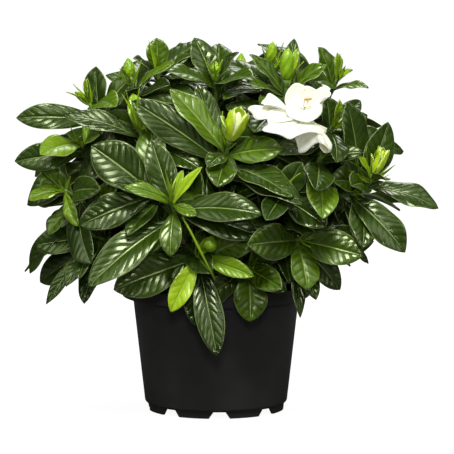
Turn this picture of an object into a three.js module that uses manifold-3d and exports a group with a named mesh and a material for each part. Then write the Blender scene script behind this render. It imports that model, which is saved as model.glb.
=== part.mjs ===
// Potted gardenia: a bushy evergreen shrub of three rooted cuttings, with glossy whorled leaves,
// furled buds and one open double white flower, standing in a black plastic nursery pot.
// Millimetres, +Z up, +X to the viewer's right, -Y towards the viewer.
// The origin is the centre of the pot's foot, on the surface that it stands on.
import * as THREE from 'three';
import { mergeVertices } from 'three/addons/utils/BufferGeometryUtils.js';
import Module from 'manifold-3d';

const wasm = await Module();
wasm.setup();

const DEGREE = Math.PI / 180;
const UP = new THREE.Vector3(0, 0, 1);

// Pot: rim, tapered wall, foot ring, floor and the pad under the floor's middle
const RIM_RADIUS = 70;
const POT_HEIGHT = 95;
const RIM_HEIGHT = 10;
const WALL_TOP_RADIUS = 62;
const WALL_FOOT_RADIUS = 53;
const FOOT_RADIUS = 50.5;
const FOOT_HEIGHT = 5.2;
const POT_WALL = 1.6;
const FLOOR_THICKNESS = 2;
const LEDGE_RISE = 1.4;
const RIM_SHELF = 0.8;
const PAD_RADIUS = 17;
const POT_SIDES = 32;
const NOTCHES = 8;
const NOTCH_WIDTH_BELOW = 16;
const NOTCH_WIDTH_ABOVE = 9;
const NOTCH_DEPTH = 12;
const NOTCH_PHASE = 3 * DEGREE;
const DRAIN_RADIUS = 4;
const DRAIN_RING_RADIUS = 34;

// Soil and the three rooted cuttings that stand in it
const SOIL_EDGE_HEIGHT = 82;
const SOIL_CROWN_HEIGHT = 86;
const CLEARANCE = 0.3;
const TRUNK_RADIUS = 4.5;
const TRUNK_DEPTH = 30;
const TRUNK_RING_RADIUS = 20;
const TRUNK_TOP_HEIGHT = 138;
const TRUNK_LEAN = 8;
const BRANCH_RADIUS = 2.2;
const BRANCH_ROOM = 0.7;

// Green shoots: stem, leaf joints below the crown, and how thick a leaf is
const SHOOT_RADIUS = 1.7;
const SHOOT_LENGTH = 46;
const JOINT_DROPS = [2, 10, 19, 29, 40];
const LEAF_THICKNESS = 0.8;
const LEAF_ROOM = 0.3;
const RIB_THICKENING = 2;
const ROOT_SUNK = 1.2;

// The bush as a dome, for the shoots that a rule places round its back and sides
const DOME_CENTRE = new THREE.Vector3(3, 2, 112);
const DOME_RADII = new THREE.Vector3(108, 106, 136);

// One seeded draw for the whole plant
let seed = 20;
function draw(low, high) {
  seed = (seed * 1664525 + 1013904223) % 4294967296;
  return low + (high - low) * (seed / 4294967296);
}

// Shoots seen in the photograph. crown: where its youngest leaves meet; way: where it points.
// leaves: [joint, tip x, tip y, tip z, width, bend, twist], joints counted down from the crown,
// young: the same for bright young leaves; extra: how many more leaves the whorl rule adds;
// bare: which of those the shoot has lost; bud: [tip x, tip y, tip z, radius].
const SHOOTS = [
  {
    crown: [-32, -108, 169], way: [-0.15, -0.75, 0.65], extra: 0, spikes: 2,
    leaves: [[1, 32, -128, 168, 25, 45, 0], [1, 32, -114, 146, 24, 40, 10], [2, -93, -122, 110, 31, 30, 0],
      [1, -33, -122, 132, 17, 55, 0], [2, -41, -96, 216, 23, 40, 0]],
    young: [[0, -10, -112, 197, 9, 20, 0], [0, -24, -100, 193, 8, 20, 0], [0, -67, -118, 183, 12, 60, 0],
      [0, -14, -120, 162, 10, 30, 0]],
  },
  {
    crown: [-13, -96, 129], way: [0, -0.9, 0.3], extra: 1, spikes: 2,
    leaves: [[1, -75, -98, 104, 32, 30, 0], [2, -15, -96, 77, 20, 30, 0], [1, 1, -118, 58, 22, 25, 0]],
    young: [[0, -33, -108, 89, 18, 25, 0], [0, 28, -112, 116, 15, 25, 0], [0, -2, -106, 145, 9, 20, 0]],
  },
  {
    crown: [9, -84, 209], way: [0.1, -0.5, 0.85], extra: 2, bare: [0, 1], spikes: 2, bud: [18, -98, 238, 8],
    leaves: [[1, -34, -70, 249, 25, 20, 0], [2, -62, -76, 241, 27, 30, -35], [3, -14, -56, 251, 22, 20, 0],
      [1, -6, -108, 196, 15, 50, 0], [1, 1, -112, 182, 24, 45, 0], [1, 49, -96, 208, 22, 40, 35],
      [2, 56, -122, 176, 28, 30, 0], [3, 63, -120, 163, 26, 30, 0]],
    young: [],
  },
  {
    crown: [52, -45, 248], way: [0.05, -0.3, 0.95], extra: 5, spikes: 2, bud: [53, -49, 276, 5.4],
    leaves: [[1, 25, -40, 271, 18, 30, 0], [1, 16, -55, 252, 20, 35, 0], [1, 35, -64, 246, 17, 35, 0],
      [1, 82, -40, 263, 21, 35, 0], [2, 58, -10, 279, 14, 20, 0]],
    young: [[0, 57, -36, 277, 8, 15, 0]],
  },
  {
    crown: [90, -15, 249], way: [0.35, -0.45, 0.8], extra: 8, bare: [5], spikes: 2,
    leaves: [[1, 76, -12, 273, 20, 30, 0], [1, 113, -22, 244, 12, 40, 0]],
    young: [[0, 90, -15, 269, 9, 15, 0], [0, 99, -20, 259, 7, 15, 0]],
  },
  {
    crown: [87, -62, 222], way: [0.4, -0.6, 0.7], extra: 7, bare: [3], spikes: 2,
    leaves: [[1, 107, -20, 234, 14, 30, 0], [1, 81, -60, 242, 20, 30, 0]],
    young: [[0, 91, -70, 241, 8, 15, 0]],
  },
  {
    crown: [115, -60, 180], way: [0.5, -0.6, 0.6], extra: 4, spikes: 2, bud: [124, -64, 205, 5],
    leaves: [[2, 127, -50, 222, 24, 30, 0], [2, 110, -72, 236, 27, 25, -10], [1, 81, -90, 181, 22, 35, 0],
      [1, 164, -60, 159, 23, 40, 0]],
    young: [[0, 125, -86, 184, 13, 40, 0], [0, 112, -74, 203, 9, 25, 0]],
  },
  {
    crown: [101, -80, 174], way: [0.45, -0.85, 0.3], extra: 7, bare: [0, 1], spikes: 2,
    leaves: [[1, 139, -86, 130, 27, 40, 0]], young: [],
  },
  {
    crown: [-112, -62, 173], way: [-0.7, -0.5, 0.5], extra: 7, spikes: 2,
    leaves: [[1, -129, -54, 186, 20, 50, 0], [2, -124, -64, 139, 20, 40, 0]],
    young: [[0, -138, -66, 166, 16, 45, 0], [0, -101, -84, 149, 12, 40, 0]],
  },
  {
    crown: [-91, -72, 141], way: [-0.5, -0.7, 0.3], extra: 5, spikes: 2,
    leaves: [[1, -125, -76, 90, 13, 25, 0], [1, -110, -88, 105, 17, 30, 0], [1, -135, -60, 127, 22, 40, 0],
      [2, -97, -80, 91, 20, 30, 0]],
    young: [],
  },
  {
    crown: [63, -88, 140], way: [0.4, -0.85, 0.2], extra: 4, bare: [0, 1, 2], spikes: 2,
    leaves: [[1, 23, -128, 142, 28, 35, 0], [1, 108, -96, 129, 28, 35, 0], [1, 67, -100, 104, 24, 35, 0],
      [2, 62, -90, 82, 11, 20, 0], [2, 72, -86, 93, 17, 25, 0], [1, 93, -84, 103, 22, 30, 0]],
    young: [],
  },
  {
    crown: [78, -76, 200], way: [0.3, -0.7, 0.6], extra: 6, bare: [1], spikes: 2,
    leaves: [[2, 78, -116, 159, 26, 50, 0], [1, 73, -122, 181, 24, 30, 0]], young: [],
  },
  {
    crown: [-48, -98, 179], way: [-0.4, -0.7, 0.6], extra: 5, bare: [3], spikes: 2,
    leaves: [[1, -90, -94, 211, 34, 30, 0], [1, -100, -100, 152, 26, 40, -25],
      [2, -66, -118, 156, 18, 30, 0]],
    young: [],
  },
  {
    crown: [-94, -20, 232], way: [-0.45, -0.45, 0.75], extra: 8, spikes: 2,
    leaves: [[2, -148, -20, 221, 21, 50, -40], [2, -89, -8, 258, 22, 20, 0]],
    young: [[0, -96, -26, 251, 8, 15, 0], [0, -106, -22, 247, 8, 20, 0]],
  },
  {
    crown: [-56, -74, 219], way: [-0.2, -0.6, 0.75], extra: 8, bare: [4], spikes: 2,
    leaves: [[1, -112, -70, 229, 19, 40, 0]], young: [[0, -42, -82, 231, 9, 25, 0]],
  },
  {
    crown: [-101, -52, 206], way: [-0.55, -0.6, 0.55], extra: 7, spikes: 2,
    leaves: [[1, -148, -50, 189, 22, 45, -40]], young: [[0, -129, -84, 202, 22, 40, -35]],
  },
  {
    crown: [-63, -30, 248], way: [-0.15, -0.45, 0.85], extra: 8, spikes: 2, bud: [-65, -30, 267, 4.6],
    leaves: [[2, -34, -56, 250, 20, 40, 0]], young: [],
  },
  {
    crown: [-43, -5, 255], way: [0, -0.35, 0.9], extra: 7, spikes: 2,
    leaves: [[1, -17, -20, 268, 18, 30, 0], [1, -61, -12, 265, 20, 30, 0]],
    young: [[0, -44, -5, 279, 18, 20, 0]],
  },
  {
    crown: [0, -25, 250], way: [0, -0.4, 0.9], extra: 8, spikes: 2, bud: [0, -27, 264, 4],
    leaves: [[1, -18, -8, 278, 22, 25, 0]], young: [],
  },
  {
    crown: [51, -104, 179], way: [0.1, -0.85, 0.45], extra: 3, bare: [0, 1], spikes: 2,
    leaves: [[2, 81, -110, 152, 24, 40, 0], [2, 62, -102, 198, 20, 30, 0]],
    young: [],
  },
  {
    crown: [26, -86, 117], way: [0.2, -0.9, 0], extra: 4, bare: [1], spikes: 2,
    leaves: [[1, 45, -100, 108, 20, 30, 0], [1, 25, -90, 79, 26, 30, 0], [2, 48, -90, 100, 16, 30, 0],
      [2, 52, -80, 141, 22, 30, 0], [3, -4, -76, 143, 22, 30, 0]],
    young: [],
  },
  {
    crown: [40, -20, 257], way: [0, 0, 1], extra: 7, spikes: 2, bud: [42, -27, 279, 4.2],
    leaves: [], young: [],
  },
  {
    crown: [61, -66, 218], way: [0.1, -0.8, 0.6], extra: 6, spikes: 0, flower: true,
    leaves: [], young: [],
  },
];

// Shoots round the back and sides, by their place on the dome:
// [compass angle from +X to +Y, height angle]
const DOME_SHOOTS = [
  [8, 26], [32, 16], [57, 8], [82, 6], [106, 6], [130, 6], [154, 6], [178, 8],
  [28, 50], [66, 36], [98, 38], [130, 36], [160, 38], [72, 66], [118, 66],
];
const WAY_RAISED = 0.35;
const BUD_EVERY = 4;
for (const [angle, rise] of DOME_SHOOTS) {
  const place = new THREE.Vector3(Math.cos(angle * DEGREE), Math.sin(angle * DEGREE), 0);
  place.multiplyScalar(Math.cos(rise * DEGREE)).setZ(Math.sin(rise * DEGREE));
  const way = place.clone().setZ(place.z + WAY_RAISED);
  const crown = place.multiply(DOME_RADII).add(DOME_CENTRE);
  SHOOTS.push({
    crown: crown.toArray(), way: way.toArray(), extra: 9, spikes: 1,
    leaves: [], young: [], budOfRule: SHOOTS.length % BUD_EVERY === 0,
  });
}

// The outline of the bush, which the leaves placed by rule keep inside: a dome, and a hem
// that rises to both sides, more steeply on the right
const BUSH_CENTRE = new THREE.Vector3(6, 0, 128);
const BUSH_RADII = new THREE.Vector3(152, 146, 150);
const HEM_HEIGHT = 84;
const HEM_RISE_LEFT = 0.12;
const HEM_RISE_RIGHT = 0.42;

function insideBush(tip) {
  const share = tip.clone().sub(BUSH_CENTRE).divide(BUSH_RADII).length();
  const hem = HEM_HEIGHT + (tip.x > 0 ? HEM_RISE_RIGHT * tip.x : -HEM_RISE_LEFT * tip.x);
  return share <= 1 && tip.z >= hem;
}

// How close two corners of a solid lie when they are one corner
const SAME_CORNER = 1e-4;

// A closed solid as a manifold, and a manifold's largest closed skin as a three.js geometry
function solidOf(geometry) {
  const bare = geometry.clone();
  bare.deleteAttribute('normal');
  bare.deleteAttribute('uv');
  const merged = mergeVertices(bare, SAME_CORNER);
  return new wasm.Manifold(new wasm.Mesh({
    numProp: 3,
    vertProperties: new Float32Array(merged.attributes.position.array),
    triVerts: new Uint32Array(merged.index.array),
  }));
}

function signedVolume(points, triangles) {
  let volume = 0;
  const [a, b, c] = [new THREE.Vector3(), new THREE.Vector3(), new THREE.Vector3()];
  for (let i = 0; i < triangles.length; i += 3) {
    a.fromArray(points, triangles[i] * 3);
    b.fromArray(points, triangles[i + 1] * 3);
    c.fromArray(points, triangles[i + 2] * 3);
    volume += a.dot(b.cross(c)) / 6;
  }
  return volume;
}

function geometryOf(solid) {
  const mesh = solid.getMesh();
  const points = mesh.vertProperties;
  const parent = Array.from({ length: points.length / 3 }, (_, i) => i);
  const rootOf = (i) => {
    while (parent[i] !== i) {
      parent[i] = parent[parent[i]];
      i = parent[i];
    }
    return i;
  };
  for (let i = 0; i < mesh.triVerts.length; i += 3) {
    parent[rootOf(mesh.triVerts[i])] = rootOf(mesh.triVerts[i + 1]);
    parent[rootOf(mesh.triVerts[i + 2])] = rootOf(mesh.triVerts[i + 1]);
  }
  const skins = new Map();
  for (let i = 0; i < mesh.triVerts.length; i += 3) {
    const root = rootOf(mesh.triVerts[i]);
    if (!skins.has(root)) skins.set(root, []);
    skins.get(root).push(mesh.triVerts[i], mesh.triVerts[i + 1], mesh.triVerts[i + 2]);
  }
  const volumeOf = (triangles) => signedVolume(points, triangles);
  const largest = [...skins.values()].sort((p, q) => volumeOf(q) - volumeOf(p))[0];
  const geometry = new THREE.BufferGeometry();
  geometry.setAttribute('position', new THREE.BufferAttribute(new Float32Array(points), 3));
  geometry.setIndex(largest);
  return mergeVertices(geometry, SAME_CORNER);
}

function joined(geometries) {
  let solid = solidOf(geometries[0]);
  for (const geometry of geometries.slice(1)) solid = solid.add(solidOf(geometry));
  return geometryOf(solid);
}

// A round stem along a curve, with flat ends
function stem(curve, radius, sides, steps) {
  const section = new THREE.Shape();
  for (let i = 0; i < sides; i++) {
    const angle = (2 * Math.PI * i) / sides;
    if (i === 0) section.moveTo(radius, 0);
    else section.lineTo(radius * Math.cos(angle), radius * Math.sin(angle));
  }
  section.closePath();
  return new THREE.ExtrudeGeometry(section, { steps, extrudePath: curve, bevelEnabled: false });
}

// A turned piece whose profile [radius, height] starts and ends on its axis, stood along a direction
function turned(profile, sides, foot, way) {
  const outline = profile.map(([radius, height]) => new THREE.Vector2(radius, height));
  const geometry = new THREE.LatheGeometry(outline, sides);
  const turn = new THREE.Quaternion().setFromUnitVectors(new THREE.Vector3(0, 1, 0), way);
  return geometry.applyQuaternion(turn).translate(foot.x, foot.y, foot.z);
}

// Outlines of blades, as powers of the way to the base and to the tip
const LEAF_OUTLINE = [1.25, 0.85];
const PETAL_OUTLINE = [0.75, 0.25];

function outlineWidth([rise, fall], s) {
  const widest = rise / (rise + fall);
  return (s / widest) ** rise * ((1 - s) / (1 - widest)) ** fall;
}

// The arc, side and face directions of a blade from its base to its tip.
// It arches over its upper face by the angle bend, and leans about its own length by twist.
function bladeFrame({ base, tip, face, bend, twist }) {
  const chord = tip.clone().sub(base);
  const length = chord.length();
  const along = chord.clone().normalize();
  const upper = face.clone().addScaledVector(along, -face.dot(along)).normalize();
  upper.applyAxisAngle(along, twist);
  const side = along.clone().cross(upper);
  const half = bend / 2;
  const arcRadius = length / (2 * Math.sin(half));
  return (s) => {
    const angle = half - bend * s;
    const middle = base.clone();
    middle.addScaledVector(along, arcRadius * (Math.sin(half) - Math.sin(angle)));
    middle.addScaledVector(upper, arcRadius * (Math.cos(angle) - Math.cos(half)));
    const normal = upper.clone().multiplyScalar(Math.cos(angle)).addScaledVector(along, -Math.sin(angle));
    return { middle, side, normal };
  };
}

// A blade as a closed solid: a point sunk in what it grows from, sections across it at the
// stations, and a point at its tip. Its midrib is thickest next to the root.
// Both faces are split into triangles alike.
function bladeGeometry(blade, stations, columns, thickness, room = 0) {
  const frame = bladeFrame(blade);
  const points = [];
  const add = (point) => points.push(point.x, point.y, point.z) / 3 - 1;
  const triangles = [];
  const face = (a, b, c) => triangles.push(a, b, c);
  const quad = (a, b, c, d) => {
    face(a, b, c);
    face(a, c, d);
  };
  const base = frame(0).middle;
  const inward = base.clone().sub(frame(0.05).middle).normalize();
  const root = add(base.addScaledVector(inward, blade.sunk));
  const rows = stations.map((s, order) => {
    const { middle, side, normal } = frame(s);
    const reach = (blade.width / 2) * outlineWidth(blade.outline, s) + room;
    const row = { top: [], bottom: [] };
    for (let i = 0; i <= columns; i++) {
      const v = (2 * i) / columns - 1;
      const rib = order === 0 && (v === 0 || columns === 1) ? RIB_THICKENING : 1;
      const half = (thickness * rib) / 2 + room;
      const lift = columns === 1 ? 0.5 : Math.abs(v);
      const point = middle.clone().addScaledVector(side, v * reach * Math.cos(blade.fold));
      point.addScaledVector(normal, lift * reach * Math.sin(blade.fold));
      row.top.push(add(point.clone().addScaledVector(normal, half)));
      row.bottom.push(add(point.clone().addScaledVector(normal, -half)));
    }
    return row;
  });
  const tip = add(frame(1).middle);
  const first = rows[0];
  const last = rows[rows.length - 1];
  for (let i = 0; i < columns; i++) {
    face(root, first.top[i + 1], first.top[i]);
    face(root, first.bottom[i], first.bottom[i + 1]);
    face(tip, last.top[i], last.top[i + 1]);
    face(tip, last.bottom[i + 1], last.bottom[i]);
  }
  face(root, first.top[0], first.bottom[0]);
  face(root, first.bottom[columns], first.top[columns]);
  face(tip, last.bottom[0], last.top[0]);
  face(tip, last.top[columns], last.bottom[columns]);
  for (let r = 0; r + 1 < rows.length; r++) {
    const [near, far] = [rows[r], rows[r + 1]];
    for (let i = 0; i < columns; i++) {
      quad(near.top[i], near.top[i + 1], far.top[i + 1], far.top[i]);
      quad(near.bottom[i], far.bottom[i], far.bottom[i + 1], near.bottom[i + 1]);
    }
    quad(near.top[0], far.top[0], far.bottom[0], near.bottom[0]);
    quad(near.top[columns], near.bottom[columns], far.bottom[columns], far.top[columns]);
  }
  const geometry = new THREE.BufferGeometry();
  geometry.setAttribute('position', new THREE.BufferAttribute(new Float32Array(points), 3));
  geometry.setIndex(triangles);
  return geometry;
}

// Shells for keeping pieces clear of each other: the edges and triangles of a closed skin
function shellOf(geometry, rootPoints = 0) {
  const points = geometry.attributes.position.array;
  const index = geometry.index ? geometry.index.array : [...Array(points.length / 3).keys()];
  const triangles = [];
  const edges = [];
  const seen = new Set();
  for (let i = 0; i < index.length; i += 3) {
    const corners = [index[i], index[i + 1], index[i + 2]];
    const free = Math.min(...corners) >= rootPoints;
    const place = corners.flatMap((c) => [points[c * 3], points[c * 3 + 1], points[c * 3 + 2]]);
    triangles.push({ place, box: boxOf(place), free });
    for (let j = 0; j < 3; j++) {
      const [a, b] = [corners[j], corners[(j + 1) % 3]];
      const key = a < b ? `${a} ${b}` : `${b} ${a}`;
      if (seen.has(key)) continue;
      seen.add(key);
      const next = (j + 1) % 3;
      const ends = [...place.slice(j * 3, j * 3 + 3), ...place.slice(next * 3, next * 3 + 3)];
      edges.push({ ends, box: boxOf(ends), free: a >= rootPoints && b >= rootPoints });
    }
  }
  return { triangles, edges, box: boxOf(Array.from(points)) };
}

function boxOf(values) {
  const box = [Infinity, Infinity, Infinity, -Infinity, -Infinity, -Infinity];
  for (let i = 0; i < values.length; i++) {
    const axis = i % 3;
    box[axis] = Math.min(box[axis], values[i]);
    box[axis + 3] = Math.max(box[axis + 3], values[i]);
  }
  return box;
}

function boxesMeet(p, q) {
  return p[0] <= q[3] && q[0] <= p[3] && p[1] <= q[4] && q[1] <= p[4] && p[2] <= q[5] && q[2] <= p[5];
}

function edgeMeetsTriangle(e, t) {
  const [ux, uy, uz] = [t[3] - t[0], t[4] - t[1], t[5] - t[2]];
  const [vx, vy, vz] = [t[6] - t[0], t[7] - t[1], t[8] - t[2]];
  const [dx, dy, dz] = [e[3] - e[0], e[4] - e[1], e[5] - e[2]];
  const [px, py, pz] = [dy * vz - dz * vy, dz * vx - dx * vz, dx * vy - dy * vx];
  const across = ux * px + uy * py + uz * pz;
  if (Math.abs(across) < 1e-12) return false;
  const [sx, sy, sz] = [e[0] - t[0], e[1] - t[1], e[2] - t[2]];
  const u = (sx * px + sy * py + sz * pz) / across;
  if (u < 0 || u > 1) return false;
  const [qx, qy, qz] = [sy * uz - sz * uy, sz * ux - sx * uz, sx * uy - sy * ux];
  const v = (dx * qx + dy * qy + dz * qz) / across;
  if (v < 0 || u + v > 1) return false;
  const along = (vx * qx + vy * qy + vz * qz) / across;
  return along >= 0 && along <= 1;
}

function edgesCut(p, q, freeOnly) {
  for (const edge of p.edges) {
    if ((freeOnly && !edge.free) || !boxesMeet(edge.box, q.box)) continue;
    for (const triangle of q.triangles) {
      if (freeOnly && !triangle.free) continue;
      if (boxesMeet(edge.box, triangle.box) && edgeMeetsTriangle(edge.ends, triangle.place)) return true;
    }
  }
  return false;
}

// Everything that already stands: the node that it belongs to, its shell,
// and whether it carries that node's leaves
const standing = [];

function isClear(shell, node) {
  return !standing.some((other) => {
    const own = other.node === node;
    if ((own && other.carries) || !boxesMeet(shell.box, other.shell.box)) return false;
    return edgesCut(shell, other.shell, own) || edgesCut(other.shell, shell, own);
  });
}

// Turns that bend a piece clear of its neighbours: [away from the stem, round the stem] in degrees
const TURNS = [
  [0, 0], [6, 0], [-6, 0], [0, 7], [0, -7], [9, 8], [9, -8], [-9, 8], [-9, -8], [14, 0], [-14, 0],
  [0, 15], [0, -15], [14, 14], [14, -14], [-14, 14], [-14, -14], [20, 0], [-20, 0], [0, 24], [0, -24],
];
// Wider turns, for the leaves placed by rule
const FAR_TURNS = [
  [-28, 0], [-28, 18], [-28, -18], [-38, 0], [0, 50], [0, -50], [-20, 50], [-20, -50], [0, 95], [0, -95],
];
const SHORTENINGS = [1, 0.86, 0.72];

function turnedBlade(blade, axis, [away, round], shortening) {
  const chord = blade.tip.clone().sub(blade.base).multiplyScalar(shortening);
  const hinge = axis.clone().cross(chord).normalize();
  chord.applyAxisAngle(hinge, away * DEGREE).applyAxisAngle(axis, round * DEGREE);
  return { ...blade, tip: chord.add(blade.base), width: blade.width * shortening };
}

// The first of the turned blades that stands clear, or nothing where the bush has no room for one
function clearBlade(blade, axis, node, { stations, columns }, byRule) {
  const turns = byRule ? [...TURNS, ...FAR_TURNS] : TURNS;
  for (const shortening of SHORTENINGS) {
    for (const turn of turns) {
      const candidate = turnedBlade(blade, axis, turn, shortening);
      if (byRule && !insideBush(candidate.tip)) continue;
      const shell = shellOf(bladeGeometry(candidate, stations, columns, LEAF_THICKNESS, LEAF_ROOM), 1);
      if (isClear(shell, node)) {
        standing.push({ node, shell, carries: false });
        return candidate;
      }
    }
  }
  return null;
}

const materials = {
  pot: new THREE.MeshStandardMaterial({ color: 0x17181a, roughness: 0.42, metalness: 0 }),
  soil: new THREE.MeshStandardMaterial({ color: 0x2b1d14, roughness: 1, metalness: 0 }),
  bark: new THREE.MeshStandardMaterial({ color: 0x6b5a44, roughness: 0.9, metalness: 0 }),
  leaf: new THREE.MeshStandardMaterial({ color: 0x1f4a1c, roughness: 0.3, metalness: 0 }),
  bud: new THREE.MeshStandardMaterial({ color: 0xb9cf6a, roughness: 0.4, metalness: 0 }),
  petal: new THREE.MeshStandardMaterial({ color: 0xf7f5ec, roughness: 0.5, metalness: 0 }),
  eye: new THREE.MeshStandardMaterial({ color: 0xd8b36a, roughness: 0.6, metalness: 0 }),
};

const plant = new THREE.Group();

function addNode(name, geometry, material) {
  const mesh = new THREE.Mesh(geometry, material.clone());
  mesh.name = name;
  plant.add(mesh);
}

// Pot: a turned shell with the foot ring below its floor, cut by the drainage notches and holes
const WALL_TOP_HEIGHT = POT_HEIGHT - RIM_HEIGHT;
const FLOOR_TOP_HEIGHT = FOOT_HEIGHT + FLOOR_THICKNESS;

// The outer radius of the tapered wall at a height
function wallRadius(height) {
  const foot = FOOT_HEIGHT + LEDGE_RISE;
  const share = (height - foot) / (WALL_TOP_HEIGHT - foot);
  return WALL_FOOT_RADIUS + (WALL_TOP_RADIUS - WALL_FOOT_RADIUS) * share;
}

function potGeometry() {
  const profile = [
    [0, 0], [PAD_RADIUS, 0], [PAD_RADIUS + 1, FOOT_HEIGHT], [FOOT_RADIUS - POT_WALL - 0.4, FOOT_HEIGHT],
    [FOOT_RADIUS - POT_WALL, 0], [FOOT_RADIUS, 0], [FOOT_RADIUS + 0.4, FOOT_HEIGHT - RIM_SHELF],
    [WALL_FOOT_RADIUS, FOOT_HEIGHT + LEDGE_RISE], [WALL_TOP_RADIUS, WALL_TOP_HEIGHT],
    [RIM_RADIUS, WALL_TOP_HEIGHT + RIM_SHELF], [RIM_RADIUS, POT_HEIGHT], [RIM_RADIUS - POT_WALL, POT_HEIGHT],
    [RIM_RADIUS - POT_WALL - 0.5, WALL_TOP_HEIGHT + RIM_SHELF + LEDGE_RISE],
    [WALL_TOP_RADIUS - POT_WALL, WALL_TOP_HEIGHT + POT_WALL],
    [wallRadius(FLOOR_TOP_HEIGHT) - POT_WALL, FLOOR_TOP_HEIGHT], [0, FLOOR_TOP_HEIGHT],
  ];
  let pot = solidOf(turned(profile, POT_SIDES, new THREE.Vector3(0, 0, 0), UP));
  for (let i = 0; i < NOTCHES; i++) {
    const angle = -Math.PI / 2 + NOTCH_PHASE + (i * 2 * Math.PI) / NOTCHES;
    const notch = new THREE.Shape();
    notch.moveTo(-NOTCH_WIDTH_BELOW / 2, -1);
    notch.lineTo(NOTCH_WIDTH_BELOW / 2, -1);
    notch.lineTo(NOTCH_WIDTH_ABOVE / 2, FOOT_HEIGHT - CLEARANCE);
    notch.lineTo(-NOTCH_WIDTH_ABOVE / 2, FOOT_HEIGHT - CLEARANCE);
    notch.closePath();
    const cutter = new THREE.ExtrudeGeometry(notch, { depth: NOTCH_DEPTH, bevelEnabled: false });
    cutter.rotateX(Math.PI / 2).rotateZ(angle + Math.PI / 2);
    const inner = FOOT_RADIUS - NOTCH_DEPTH / 2;
    cutter.translate(inner * Math.cos(angle), inner * Math.sin(angle), 0);
    pot = pot.subtract(solidOf(cutter));
    const drain = new THREE.CylinderGeometry(DRAIN_RADIUS, DRAIN_RADIUS, 8, 6).rotateX(Math.PI / 2);
    drain.translate(DRAIN_RING_RADIUS * Math.cos(angle), DRAIN_RING_RADIUS * Math.sin(angle), FOOT_HEIGHT + 1);
    pot = pot.subtract(solidOf(drain));
  }
  return geometryOf(pot);
}

// Trunks: one to each third of the bush, [compass angle of the third's middle]
const THIRDS = [180, 60, -60];

function trunkCurve(third) {
  const angle = THIRDS[third] * DEGREE;
  const at = (radius, height) => new THREE.Vector3(radius * Math.cos(angle), radius * Math.sin(angle), height);
  const foot = at(TRUNK_RING_RADIUS, SOIL_EDGE_HEIGHT - TRUNK_DEPTH);
  const middle = at(TRUNK_RING_RADIUS, (SOIL_EDGE_HEIGHT + TRUNK_TOP_HEIGHT) / 2);
  return new THREE.QuadraticBezierCurve3(foot, middle, at(TRUNK_RING_RADIUS + TRUNK_LEAN, TRUNK_TOP_HEIGHT));
}

function thirdOf(place) {
  const angle = Math.atan2(place.y, place.x) / DEGREE;
  const turn = (other) => Math.abs(((angle - other + 540) % 360) - 180);
  return THIRDS.reduce((best, other, i) => (turn(other) < turn(THIRDS[best]) ? i : best), 0);
}

// Soil: a turned plug inside the pot with a plain hole for each trunk
const HOLE_HEIGHT = TRUNK_DEPTH + 8;
function soilGeometry() {
  const bottom = FLOOR_TOP_HEIGHT + CLEARANCE;
  const reach = (height) => wallRadius(height) - POT_WALL - 2 * CLEARANCE;
  const profile = [
    [0, bottom], [reach(bottom), bottom], [reach(SOIL_EDGE_HEIGHT), SOIL_EDGE_HEIGHT],
    [40, SOIL_CROWN_HEIGHT - 1.2], [0, SOIL_CROWN_HEIGHT],
  ];
  let soil = solidOf(turned(profile, POT_SIDES, new THREE.Vector3(0, 0, 0), UP));
  THIRDS.forEach((_, third) => {
    const foot = trunkCurve(third).getPoint(0);
    const hole = new THREE.CylinderGeometry(TRUNK_RADIUS + 2, TRUNK_RADIUS + 1, HOLE_HEIGHT, 10);
    hole.rotateX(Math.PI / 2).translate(foot.x, foot.y, foot.z - CLEARANCE + HOLE_HEIGHT / 2);
    soil = soil.subtract(solidOf(hole));
  });
  return geometryOf(soil);
}

for (const [name, geometry] of [['pot', potGeometry()], ['soil', soilGeometry()]]) {
  addNode(name, geometry, materials[name]);
  standing.push({ node: name, shell: shellOf(geometry), carries: false });
}

// Stems first: each shoot's green stem, and the woody branch that carries it
const BRANCH_BOWS = [0, 8, -8, 16, -16, 26, -26];
const BRANCH_BASE_SHARES = [0.62, 0.97];
const wood = THIRDS.map((_, third) => [stem(trunkCurve(third), TRUNK_RADIUS, 6, 2)]);
const shoots = SHOOTS.map((plan, i) => {
  const name = `shoot_${String(i + 1).padStart(2, '0')}`;
  const crown = new THREE.Vector3(...plan.crown);
  const way = new THREE.Vector3(...plan.way).normalize();
  const foot = crown.clone().addScaledVector(way, -SHOOT_LENGTH);
  const up = UP.clone().addScaledVector(way, -UP.dot(way));
  if (up.length() < 0.2) up.set(0, -1, 0).addScaledVector(way, way.y);
  up.normalize();
  const right = up.clone().cross(way);
  const green = stem(new THREE.LineCurve3(foot, crown), SHOOT_RADIUS, 4, 1);
  standing.push({ node: name, shell: shellOf(green), carries: true });
  return { ...plan, name, crown, way, up, right, foot, pieces: [green] };
});

// Branches run from their trunk to a shoot's foot, bowed sideways where another stem is in the way
function branchCurve(shoot, third, bow) {
  const end = shoot.foot.clone().addScaledVector(shoot.way, -CLEARANCE);
  const share = THREE.MathUtils.clamp((end.z - 70) / 110, ...BRANCH_BASE_SHARES);
  const start = trunkCurve(third).getPoint(share);
  const reach = start.distanceTo(end);
  const sideways = end.clone().sub(start).cross(UP).normalize();
  const leave = start.clone().lerp(end, 0.3).addScaledVector(UP, reach * 0.12).addScaledVector(sideways, bow);
  const arrive = end.clone().addScaledVector(shoot.way, -reach * 0.35);
  return new THREE.CubicBezierCurve3(start, leave, arrive, end);
}

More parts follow.
